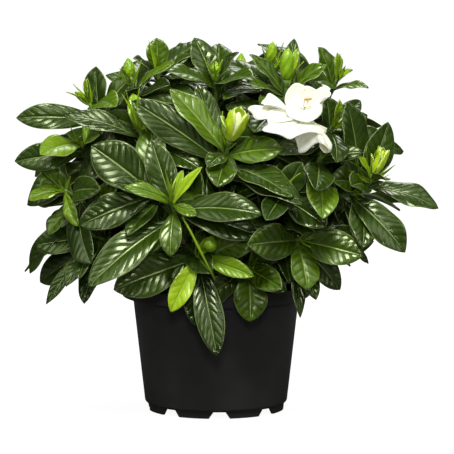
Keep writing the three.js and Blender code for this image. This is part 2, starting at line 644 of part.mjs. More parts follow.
for (const shoot of shoots) {
  const third = thirdOf(shoot.foot);
  const node = `wood_${third + 1}`;
  for (const bow of BRANCH_BOWS) {
    const curve = branchCurve(shoot, third, bow);
    const shell = shellOf(stem(curve, BRANCH_RADIUS + BRANCH_ROOM, 3, 2));
    const blocked = standing.some((other) => other.node !== node && other.node !== shoot.name
      && boxesMeet(shell.box, other.shell.box)
      && (edgesCut(shell, other.shell, false) || edgesCut(other.shell, shell, false)));
    if (blocked) continue;
    wood[third].push(stem(curve, BRANCH_RADIUS, 3, 2));
    standing.push({ node, shell, carries: false });
    break;
  }
}

// Buds and the green calyx under each
const CALYX_LENGTH = 5;
const CALYX_RADIUS = 3;
const CALYX_SUNK = 1.5;
const RULE_BUD = { reach: 26, radius: 5 };
const buds = [];
for (const shoot of shoots) {
  if (shoot.budOfRule) {
    const tip = shoot.crown.clone().addScaledVector(shoot.way, RULE_BUD.reach);
    shoot.bud = [...tip.toArray(), RULE_BUD.radius];
  }
  if (!shoot.bud) continue;
  const [x, y, z, radius] = shoot.bud;
  const lean = new THREE.Vector3(x, y, z).sub(shoot.crown);
  const length = lean.length() - CALYX_LENGTH - CLEARANCE;
  lean.normalize();
  const cup = CALYX_LENGTH + CALYX_SUNK;
  const calyxProfile = [[0, 0], [SHOOT_RADIUS * 0.9, 0], [CALYX_RADIUS, cup], [0, cup]];
  const calyx = turned(calyxProfile, 5, shoot.crown.clone().addScaledVector(lean, -CALYX_SUNK), lean);
  const budProfile = [
    [0, 0], [radius * 0.55, 0], [radius, length * 0.4], [radius * 0.7, length * 0.72], [0, length],
  ];
  const budFoot = shoot.crown.clone().addScaledVector(lean, CALYX_LENGTH + CLEARANCE);
  const furled = turned(budProfile, 6, budFoot, lean);
  shoot.pieces.push(calyx);
  standing.push({ node: shoot.name, shell: shellOf(calyx), carries: true });
  const name = `bud_${String(buds.length + 1).padStart(2, '0')}`;
  buds.push({ name, furled });
  standing.push({ node: name, shell: shellOf(furled), carries: false });
}

// Open flower: a trumpet tube with its petals in layers, and the eye in its throat
const FLOWER_TUBE_LENGTH = 24;
const THROAT_RADIUS = 5.5;
const PETAL_THICKNESS = 0.9;
const PETAL_STATIONS = [0.3, 0.64, 0.92];
const BROAD_PETAL = 19;
const PETAL_SUNK = 2;
// Petals, [tip x, tip y, tip z, width, bend, fold], from the outermost layer inwards
const PETALS = [
  [55, -74, 254, 22, 30, 12], [87, -78, 237, 20, 35, 12], [35, -86, 247, 21, 40, 14],
  [85, -84, 249, 20, 25, 16], [25, -88, 235, 17, 45, 14], [62, -96, 205, 27, 50, 10],
  [84, -92, 210, 17, 40, 22], [65, -90, 256, 27, -25, 16], [38, -104, 220, 26, 40, 12],
  [38, -100, 229, 15, 30, 16], [81, -99, 221, 13, 35, 16], [58, -101, 242, 14, -35, 20],
  [74, -100, 244, 12, -35, 20],
];
const flowering = shoots.find((shoot) => shoot.flower);
const tubeFoot = flowering.crown.clone().addScaledVector(flowering.way, CLEARANCE);
const throat = tubeFoot.clone().addScaledVector(flowering.way, FLOWER_TUBE_LENGTH);
const tubeProfile = [
  [0, 0], [1.8, 0], [2.4, FLOWER_TUBE_LENGTH * 0.5], [3.2, FLOWER_TUBE_LENGTH * 0.8],
  [THROAT_RADIUS, FLOWER_TUBE_LENGTH], [0, FLOWER_TUBE_LENGTH],
];
const petalPieces = [turned(tubeProfile, 8, tubeFoot, flowering.way)];
for (const [x, y, z, width, bend, fold] of PETALS) {
  const tip = new THREE.Vector3(x, y, z);
  const outward = tip.clone().sub(throat);
  outward.addScaledVector(flowering.way, -outward.dot(flowering.way)).normalize();
  const base = throat.clone().addScaledVector(outward, THROAT_RADIUS * 0.62);
  base.addScaledVector(flowering.way, -1.5);
  const petal = {
    base, tip, width, face: flowering.way, bend: bend * DEGREE, twist: 0, fold: fold * DEGREE,
    outline: PETAL_OUTLINE, sunk: PETAL_SUNK,
  };
  const columns = width > BROAD_PETAL ? 4 : 2;
  petalPieces.push(bladeGeometry(petal, PETAL_STATIONS, columns, PETAL_THICKNESS));
  const roomy = shellOf(bladeGeometry(petal, PETAL_STATIONS, columns, PETAL_THICKNESS, LEAF_ROOM));
  standing.push({ node: 'flower_petals', shell: roomy, carries: false });
}
standing.push({ node: 'flower_petals', shell: shellOf(petalPieces[0]), carries: false });
const eyeFoot = throat.clone().addScaledVector(flowering.way, CLEARANCE);
const eyeProfile = [[0, 0], [0.9, 0], [0.9, 5], [1.7, 7], [1.4, 9.5], [0, 10.5]];
const eye = turned(eyeProfile, 6, eyeFoot, flowering.way);

// Leaves: those seen in the photograph, then the whorls that fill the bush
const FOLDED = { stations: [0.24, 0.52, 0.8], columns: 2 };
const PLAIN = { stations: [0.26, 0.54, 0.8], columns: 1 };
const SIMPLE = { stations: [0.32, 0.7], columns: 1 };
const BROAD_LEAF = 22;
const LEAF_FOLD = 14;
// Whorls placed by rule: how far a leaf leans from the stem and how long it is, by its joint
const WHORL_SPREAD = [34, 54, 76, 94, 104];
const WHORL_LENGTH = [34, 52, 64, 70, 70];

function growLeaf(shoot, [joint, x, y, z, width, bend, twist], form, byRule = false) {
  const blade = {
    base: shoot.crown.clone().addScaledVector(shoot.way, -JOINT_DROPS[joint]),
    tip: new THREE.Vector3(x, y, z), width, face: shoot.way,
    bend: bend * DEGREE, twist: twist * DEGREE, fold: LEAF_FOLD * DEGREE,
    outline: LEAF_OUTLINE, sunk: ROOT_SUNK,
  };
  const placed = clearBlade(blade, shoot.way, shoot.name, form, byRule);
  if (placed) shoot.pieces.push(bladeGeometry(placed, form.stations, form.columns, LEAF_THICKNESS));
}

for (const shoot of shoots) {
  for (const leaf of shoot.young) growLeaf(shoot, leaf, SIMPLE);
  for (const leaf of shoot.leaves) growLeaf(shoot, leaf, leaf[4] < BROAD_LEAF ? PLAIN : FOLDED);
}

function whorlTip(shoot, joint, clock, spread, length) {
  const outward = shoot.up.clone().multiplyScalar(Math.cos(clock));
  outward.addScaledVector(shoot.right, Math.sin(clock));
  const tip = shoot.crown.clone().addScaledVector(shoot.way, length * Math.cos(spread) - JOINT_DROPS[joint]);
  return tip.addScaledVector(outward, length * Math.sin(spread));
}

for (const shoot of shoots) {
  const start = draw(0, 120);
  for (let i = 0; i < shoot.extra; i++) {
    const joint = 1 + Math.floor(i / 3);
    const clock = (start + 120 * (i % 3) + 60 * joint + draw(-12, 12)) * DEGREE;
    const spread = (WHORL_SPREAD[joint] + draw(-8, 8)) * DEGREE;
    const length = WHORL_LENGTH[joint] + draw(-6, 6);
    const width = length * draw(0.38, 0.44);
    const tip = whorlTip(shoot, joint, clock, spread, length);
    const leaf = [joint, ...tip.toArray(), width, draw(25, 55), draw(-12, 12)];
    if (shoot.bare?.includes(i)) continue;
    growLeaf(shoot, leaf, SIMPLE, true);
  }
}

// Spikes: the pointed stipules and unopened leaves round a crown
for (const shoot of shoots) {
  for (let i = 0; i < shoot.spikes; i++) {
    const clock = ((360 / shoot.spikes) * i + draw(-25, 25)) * DEGREE;
    const lean = draw(10, 24) * DEGREE;
    const length = draw(14, 24);
    const tip = whorlTip(shoot, 0, clock, lean, length);
    const base = shoot.crown.clone().addScaledVector(shoot.way, -JOINT_DROPS[0]);
    const spike = turned([[0, 0], [1.2, 0], [0, length]], 3, base, tip.sub(base).normalize());
    const shell = shellOf(spike);
    if (!isClear(shell, shoot.name)) continue;
    standing.push({ node: shoot.name, shell, carries: true });
    shoot.pieces.push(spike);
  }
}

wood.forEach((pieces, third) => addNode(`wood_${third + 1}`, joined(pieces), materials.bark));
for (const shoot of shoots) addNode(shoot.name, joined(shoot.pieces), materials.leaf);
for (const bud of buds) addNode(bud.name, geometryOf(solidOf(bud.furled)), materials.bud);
addNode('flower_petals', joined(petalPieces), materials.petal);
addNode('flower_eye', geometryOf(solidOf(eye)), materials.eye);

export default plant;
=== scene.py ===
import math
import random

import bpy
import numpy as np
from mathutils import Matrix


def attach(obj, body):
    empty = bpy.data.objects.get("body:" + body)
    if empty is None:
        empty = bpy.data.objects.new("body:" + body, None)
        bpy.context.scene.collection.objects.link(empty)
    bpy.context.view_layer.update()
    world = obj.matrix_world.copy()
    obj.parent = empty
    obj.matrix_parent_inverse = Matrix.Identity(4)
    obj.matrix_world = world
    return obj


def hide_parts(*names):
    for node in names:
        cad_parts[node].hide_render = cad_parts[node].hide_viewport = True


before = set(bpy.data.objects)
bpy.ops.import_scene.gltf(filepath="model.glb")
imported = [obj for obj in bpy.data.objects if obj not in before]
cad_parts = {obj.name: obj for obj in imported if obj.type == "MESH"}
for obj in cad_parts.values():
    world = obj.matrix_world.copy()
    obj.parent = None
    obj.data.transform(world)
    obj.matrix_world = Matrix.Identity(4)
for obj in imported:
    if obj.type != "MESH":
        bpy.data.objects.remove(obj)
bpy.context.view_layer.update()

# Camera: a long lens a little above the pot's rim, far enough away for the pot's
# rim and foot to show the same tilt.
VIEW_RISE = math.radians(8.2)
VIEW_DISTANCE = 6.0
VIEW_WIDTH = 0.3382
VIEW_CENTRE = (0.0082, 0.0, 0.1365)
SENSOR_WIDTH = 36.0

lens = bpy.data.cameras.new("camera")
lens.sensor_width = SENSOR_WIDTH
lens.lens = SENSOR_WIDTH * VIEW_DISTANCE / VIEW_WIDTH
lens.dof.use_dof = False
camera = bpy.data.objects.new("camera", lens)
camera.location = (
    VIEW_CENTRE[0],
    VIEW_CENTRE[1] - VIEW_DISTANCE * math.cos(VIEW_RISE),
    VIEW_CENTRE[2] + VIEW_DISTANCE * math.sin(VIEW_RISE),
)
camera.rotation_euler = (math.pi / 2 - VIEW_RISE, 0.0, 0.0)
bpy.context.scene.collection.objects.link(camera)
bpy.context.scene.camera = camera
bpy.context.scene.view_settings.view_transform = "Standard"

# Pot: a nursery pot drawn from one sheet of black polypropylene, with a rolled
# flange for a rim, a tapered wall, a ledge, and a foot ring with drainage notches.
MM = 0.001
RIM_RADIUS = 70
POT_HEIGHT = 95
RIM_HEIGHT = 10
WALL_TOP_RADIUS = 62
WALL_FOOT_RADIUS = 53
FOOT_RADIUS = 50.5
FOOT_HEIGHT = 5.2
POT_WALL = 1.6
PAD_RADIUS = 17
NOTCHES = 8
NOTCH_HALF_BELOW = 8
NOTCH_HALF_ABOVE = 4.5
NOTCH_PHASE = 3
WALL_TOP_HEIGHT = POT_HEIGHT - RIM_HEIGHT
FLOOR_TOP = FOOT_HEIGHT + 2
LEDGE_RISE = 1.4


def shape(points, faces, attributes=None, material=0, flat=()):
    """One closed shape of a piece: its points in millimetres, faces, values at its points and flat faces."""
    return {
        "points": np.asarray(points, float).reshape(-1, 3),
        "faces": [tuple(int(i) for i in f) for f in faces],
        "attributes": attributes or {},
        "material": material,
        "flat": set(flat),
    }


def piece(name, shapes, materials, nodes, crease=None):
    """Joins shapes into one object that stands for CAD nodes."""
    points = np.concatenate([s["points"] for s in shapes]) * MM
    names = sorted({key for s in shapes for key in s["attributes"]})
    faces, material_index, smooth, start = [], [], [], 0
    for s in shapes:
        faces += [tuple(i + start for i in f) for f in s["faces"]]
        material_index += [s["material"]] * len(s["faces"])
        smooth += [k not in s["flat"] for k in range(len(s["faces"]))]
        start += len(s["points"])
    mesh = bpy.data.meshes.new(name)
    mesh.from_pydata(points.tolist(), [], faces)
    mesh.polygons.foreach_set("material_index", material_index)
    mesh.polygons.foreach_set("use_smooth", smooth)
    for key in names:
        column = [np.broadcast_to(s["attributes"].get(key, 0.0), len(s["points"])) for s in shapes]
        values = mesh.attributes.new(key, "FLOAT", "POINT")
        values.data.foreach_set("value", np.concatenate(column).astype(np.float32))
    for material in materials:
        mesh.materials.append(material)
    mesh.update()
    if crease is not None:
        mesh.set_sharp_from_angle(angle=math.radians(crease))
    made = bpy.data.objects.new(name, mesh)
    bpy.context.scene.collection.objects.link(made)
    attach(made, "root")
    if nodes:
        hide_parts(*nodes)


def rounded(profile, radius, steps=3):
    """A profile with each inner corner turned into a short curve."""
    out = [profile[0]]
    for before, corner, after in zip(profile, profile[1:], profile[2:]):
        p, q, r = np.array(before, float), np.array(corner, float), np.array(after, float)
        cut_in = min(radius, np.linalg.norm(p - q) * 0.45)
        cut_out = min(radius, np.linalg.norm(r - q) * 0.45)
        start = q + (p - q) / np.linalg.norm(p - q) * cut_in
        end = q + (r - q) / np.linalg.norm(r - q) * cut_out
        for k in range(steps + 1):
            t = k / steps
            out.append(tuple((1 - t) ** 2 * start + 2 * t * (1 - t) * q + t ** 2 * end))
    out.append(profile[-1])
    return out


def ring_faces(rows, columns, wrap=True):
    """Quads between neighbouring rows of a grid of points, row after row."""
    faces = []
    for r in range(rows - 1):
        for c in range(columns if wrap else columns - 1):
            d = (c + 1) % columns
            faces.append((r * columns + c, r * columns + d, (r + 1) * columns + d, (r + 1) * columns + c))
    return faces


def closed_faces(rows, columns):
    """The quads of a stack of rings, with a face across each end."""
    last = (rows - 1) * columns
    ends = [tuple(range(columns - 1, -1, -1)), tuple(range(last, last + columns))]
    return ring_faces(rows, columns) + ends


def level_ring(radius, angles, heights):
    """Points round the upright line through the pot's middle."""
    heights = np.broadcast_to(heights, angles.shape)
    return np.stack([radius * np.cos(angles), radius * np.sin(angles), heights], 1)


def feed(tree, socket, value):
    """Gives a socket a value, or links another node's socket to it."""
    if isinstance(value, bpy.types.NodeSocket):
        tree.links.new(value, socket)
    else:
        socket.default_value = value


def set_up(tree, node, **inputs):
    """Feeds the inputs of a node that exists."""
    for key, value in inputs.items():
        feed(tree, node.inputs[key.replace("_", " ")], value)
    return node


def add(tree, kind, inputs=None, **settings):
    """A new shader node with its settings and inputs."""
    node = tree.nodes.new("ShaderNode" + kind)
    for key, value in settings.items():
        setattr(node, key, value)
    for key, value in (inputs or {}).items():
        feed(tree, node.inputs[key], value)
    return node


def maths(tree, operation, *values):
    """A maths node's result."""
    return add(tree, "Math", dict(enumerate(values)), operation=operation).outputs[0]


def product(tree, *values):
    """Two values multiplied."""
    return maths(tree, "MULTIPLY", *values)


def ramp(tree, value, low, high, to_low=0.0, to_high=1.0):
    """A value carried smoothly from one range to another."""
    inputs = {"Value": value, "From Min": low, "From Max": high, "To Min": to_low, "To Max": to_high}
    return add(tree, "MapRange", inputs, interpolation_type="SMOOTHSTEP").outputs[0]


def blended(tree, share, first, second):
    """Two colours mixed by a share."""
    colours = {6 + k: (*c, 1.0) if isinstance(c, tuple) else c for k, c in enumerate((first, second))}
    return add(tree, "Mix", {"Factor": share, **colours}, data_type="RGBA").outputs[2]


def group(name, inputs, outputs):
    """A shader node group with float inputs and float outputs, and its two ends."""
    tree = bpy.data.node_groups.new(name, "ShaderNodeTree")
    for socket, default in inputs.items():
        made = tree.interface.new_socket(socket, in_out="INPUT", socket_type="NodeSocketFloat")
        made.default_value = default
    for socket in outputs:
        tree.interface.new_socket(socket, in_out="OUTPUT", socket_type="NodeSocketFloat")
    return tree, tree.nodes.new("NodeGroupInput"), tree.nodes.new("NodeGroupOutput")


def use(tree, made, **inputs):
    """A node group placed in a material, with its own values."""
    return set_up(tree, add(tree, "Group", node_tree=made), **inputs)


def finish(name):
    """A material and its Principled shader."""
    material = bpy.data.materials.new(name)
    material.use_nodes = True
    return material, material.node_tree, material.node_tree.nodes["Principled BSDF"]


def bump(tree, height, distance, normal=None):
    """A bump of a height in millimetres."""
    inputs = {"Height": height, "Distance": distance * MM, "Strength": 1.0}
    if normal is not None:
        inputs["Normal"] = normal
    return add(tree, "Bump", inputs).outputs[0]


# Mottle: broad cloudy variation and fine grain, in the object's own space
mottle, ends_in, ends_out = group(
    "Mottle", {"Cloud scale": 60.0, "Grain scale": 900.0}, ["Cloud", "Grain"])
place = add(mottle, "TexCoord").outputs["Object"]
for output, scale in (("Cloud", "Cloud scale"), ("Grain", "Grain scale")):
    noise = add(mottle, "TexNoise", {"Vector": place, "Scale": ends_in.outputs[scale], "Detail": 3.0})
    mottle.links.new(noise.outputs["Fac"], ends_out.inputs[output])


def mottled(name, cloud_scale, grain_scale, grain, first, second, clouds=(0.35, 0.7), **inputs):
    """A material of two colours in clouds, with fine grain: itself, its tree, its shader and its mottle."""
    made, tree, shader = finish(name)
    speckle = use(tree, mottle, Cloud_scale=cloud_scale, Grain_scale=grain_scale)
    colour = blended(tree, ramp(tree, speckle.outputs["Cloud"], *clouds), first, second)
    set_up(tree, shader, Base_Color=colour, Normal=bump(tree, speckle.outputs["Grain"], grain), **inputs)
    return made, tree, shader, speckle


black_plastic, tree, shader, speckle = mottled(
    "Black polypropylene", 35.0, 1400.0, 0.05, (0.03, 0.03, 0.03), (0.037, 0.037, 0.037), (0.45, 0.8),
    Specular_IOR_Level=0.08)
set_up(tree, shader, Roughness=ramp(tree, speckle.outputs["Cloud"], 0.3, 0.75, 0.40, 0.5))


def wall_radius(height):
    """The outer radius of the pot's tapered wall at a height."""
    foot = FOOT_HEIGHT + LEDGE_RISE
    share = (height - foot) / (WALL_TOP_HEIGHT - foot)
    return WALL_FOOT_RADIUS + (WALL_TOP_RADIUS - WALL_FOOT_RADIUS) * share


def pot_shape():
    """The pot as rings of points; the foot ring's lower edge rises in each notch."""
    below, above = (math.degrees(half / FOOT_RADIUS) for half in (NOTCH_HALF_BELOW, NOTCH_HALF_ABOVE))
    sector = 360 / NOTCHES
    turns = [-below, -above, 0, above, below]
    turns += [below + (sector - 2 * below) * k / 6 for k in range(1, 6)]
    angles, rises = [], []
    for notch in range(NOTCHES):
        for turn in turns:
            angles.append(math.radians(-90 + NOTCH_PHASE + notch * sector + turn))
            rises.append(min(1.0, max(0.0, (below - abs(turn)) / (below - above))) * (FOOT_HEIGHT - 0.3))
    angles, rises = np.array(angles), np.array(rises)
    flange = POT_HEIGHT - RIM_HEIGHT
    outside = rounded([
        (FOOT_RADIUS + 0.4, FOOT_HEIGHT - 0.8), (WALL_FOOT_RADIUS, FOOT_HEIGHT + LEDGE_RISE),
        (WALL_TOP_RADIUS, flange), (RIM_RADIUS, flange + 0.8), (RIM_RADIUS, POT_HEIGHT),
        (RIM_RADIUS - POT_WALL, POT_HEIGHT), (RIM_RADIUS - POT_WALL - 0.5, flange + 2.2),
        (WALL_TOP_RADIUS - POT_WALL, flange + POT_WALL), (wall_radius(FLOOR_TOP) - POT_WALL, FLOOR_TOP),
        (0.4, FLOOR_TOP),
    ], 0.7)
    under = [
        (0.4, 0.0), (PAD_RADIUS, 0.0), (PAD_RADIUS + 1, FOOT_HEIGHT),
        (FOOT_RADIUS - POT_WALL - 0.4, FOOT_HEIGHT),
    ]
    rows = [(FOOT_RADIUS, 0.0, True)] + [(r, z, False) for r, z in outside + under]
    rows += [(FOOT_RADIUS - POT_WALL, 0.0, True)]
    points = []
    for radius, height, foot in rows:
        z = rises if foot else height
        if radius > PAD_RADIUS + 2 and not foot:
            z = np.maximum(height, rises + 0.05)
        points.append(level_ring(radius, angles, z))
    count = len(angles)
    floor_row = 1 + len(outside)
    faces = [f for f in ring_faces(len(rows), count) if f[0] // count != floor_row - 1]
    last = (len(rows) - 1) * count
    faces += [(last + c, last + (c + 1) % count, (c + 1) % count, c) for c in range(count)]
    faces.append(tuple((floor_row - 1) * count + c for c in range(count)))
    faces.append(tuple(floor_row * count + c for c in reversed(range(count))))
    return shape(np.concatenate(points), faces)


piece("pot_shell", [pot_shape()], [black_plastic], ["pot"], crease=40)

# Soil: dark peat and bark potting mix, filled to below the rim and heaped a little
# round the stems, with loose crumbs of bark on top.
SOIL_EDGE_HEIGHT = 82
SOIL_CROWN_HEIGHT = 86
SOIL_HEAP = ([0, 40, 60], [SOIL_CROWN_HEIGHT, SOIL_CROWN_HEIGHT - 1.2, SOIL_EDGE_HEIGHT])
SOIL_ROWS = 40
SOIL_COLUMNS = 96
CRUMBS = 420
CRUMB_REACH = 56
CLEARANCE = 0.3

soil_mix = mottled(
    "Peat and bark mix", 160.0, 1100.0, 0.6, (0.012, 0.007, 0.004), (0.05, 0.03, 0.018), Roughness=0.9)[0]


def bumps(points, scale, seed):
    """A smooth random height for each point, from a few crossing waves."""
    waves = np.random.RandomState(seed)
    total = np.zeros(len(points))
    for k in range(9):
        direction = waves.normal(size=3)
        direction *= (0.6 + 0.25 * k) * scale / np.linalg.norm(direction)
        total += np.sin(points @ direction + waves.uniform(0, 2 * math.pi)) / (1 + 0.35 * k)
    return total / 3


def soil_shape():
    """The heaped top of the soil, its side and its flat underside."""
    bottom = FLOOR_TOP + CLEARANCE
    reach = lambda height: wall_radius(height) - POT_WALL - 2 * CLEARANCE
    angles = np.linspace(0, 2 * math.pi, SOIL_COLUMNS, endpoint=False)
    rows = []
    for radius in np.linspace(0.5, reach(SOIL_EDGE_HEIGHT) - 0.4, SOIL_ROWS):
        ring = level_ring(radius, angles, np.interp(radius, *SOIL_HEAP))
        ring[:, 2] += 0.8 * bumps(ring, 0.35, 4) + 0.5 * bumps(ring, 1.1, 5)
        rows.append(ring)
    rows += [level_ring(radius, angles, bottom) for radius in (reach(bottom), 0.5)]
    return shape(np.concatenate(rows), [f[::-1] for f in closed_faces(len(rows), SOIL_COLUMNS)])


def crumb(centre, size, chance):
    """One angular crumb of bark."""
    sides = 6
    points = [(0, 0, 0.5)]
    for level in (0.25, -0.3):
        for k in range(sides):
            turn = 2 * math.pi * k / sides + chance.uniform(-0.3, 0.3)
            far = chance.uniform(0.35, 0.55)
            points.append((far * math.cos(turn), far * math.sin(turn), level + chance.uniform(-0.1, 0.1)))
    points.append((0, 0, -0.5))
    faces, low, end = [], 1 + sides, 1 + 2 * sides
    for k in range(sides):
        n = (k + 1) % sides
        faces += [(0, 1 + k, 1 + n), (1 + k, low + k, low + n, 1 + n), (end, low + n, low + k)]
    spin = chance.uniform(0, 2 * math.pi)
    tilt = chance.uniform(-0.5, 0.5)
    p = np.array(points) * np.array([size, size * chance.uniform(0.5, 0.9), size * 0.5])
    p = p @ np.array([[1, 0, 0], [0, math.cos(tilt), math.sin(tilt)], [0, -math.sin(tilt), math.cos(tilt)]])
    p = p @ np.array([[math.cos(spin), math.sin(spin), 0], [-math.sin(spin), math.cos(spin), 0], [0, 0, 1]])
    return shape(p + np.array(centre), faces, flat=range(len(faces)))


chance = random.Random(11)
crumbs = []
for _ in range(CRUMBS):
    far, turn = CRUMB_REACH * math.sqrt(chance.random()), chance.uniform(0, 2 * math.pi)
    centre = (far * math.cos(turn), far * math.sin(turn), float(np.interp(far, *SOIL_HEAP)) + 0.2)
    crumbs.append(crumb(centre, chance.uniform(2, 5.5), chance))
piece("soil_fill", [soil_shape()] + crumbs, [soil_mix], ["soil"], crease=50)

# Stems: three rooted cuttings stand in the soil, each forking low down into thin
# woody branches that carry the green shoots.
TRUNK_RADIUS = 4.5
TRUNK_DEPTH = 30
TRUNK_RING_RADIUS = 20
TRUNK_TOP_HEIGHT = 138
TRUNK_LEAN = 8
BRANCH_RADIUS = 2.2
SHOOT_LENGTH = 46
THIRDS = (180, 60, -60)
BRANCH_BOWS = (0, 8, -8, 16, -16, 26, -26)
BRANCH_BASE_SHARES = (0.62, 0.97)
UP = np.array([0.0, 0.0, 1.0])


def planned(crown, way, extra, leaves=(), young=(), spikes=2, **more):
    """A shoot's place and what grows on it."""
    made = {"crown": crown, "way": way, "extra": extra, "leaves": leaves, "young": young}
    return {**made, "spikes": spikes, **more}


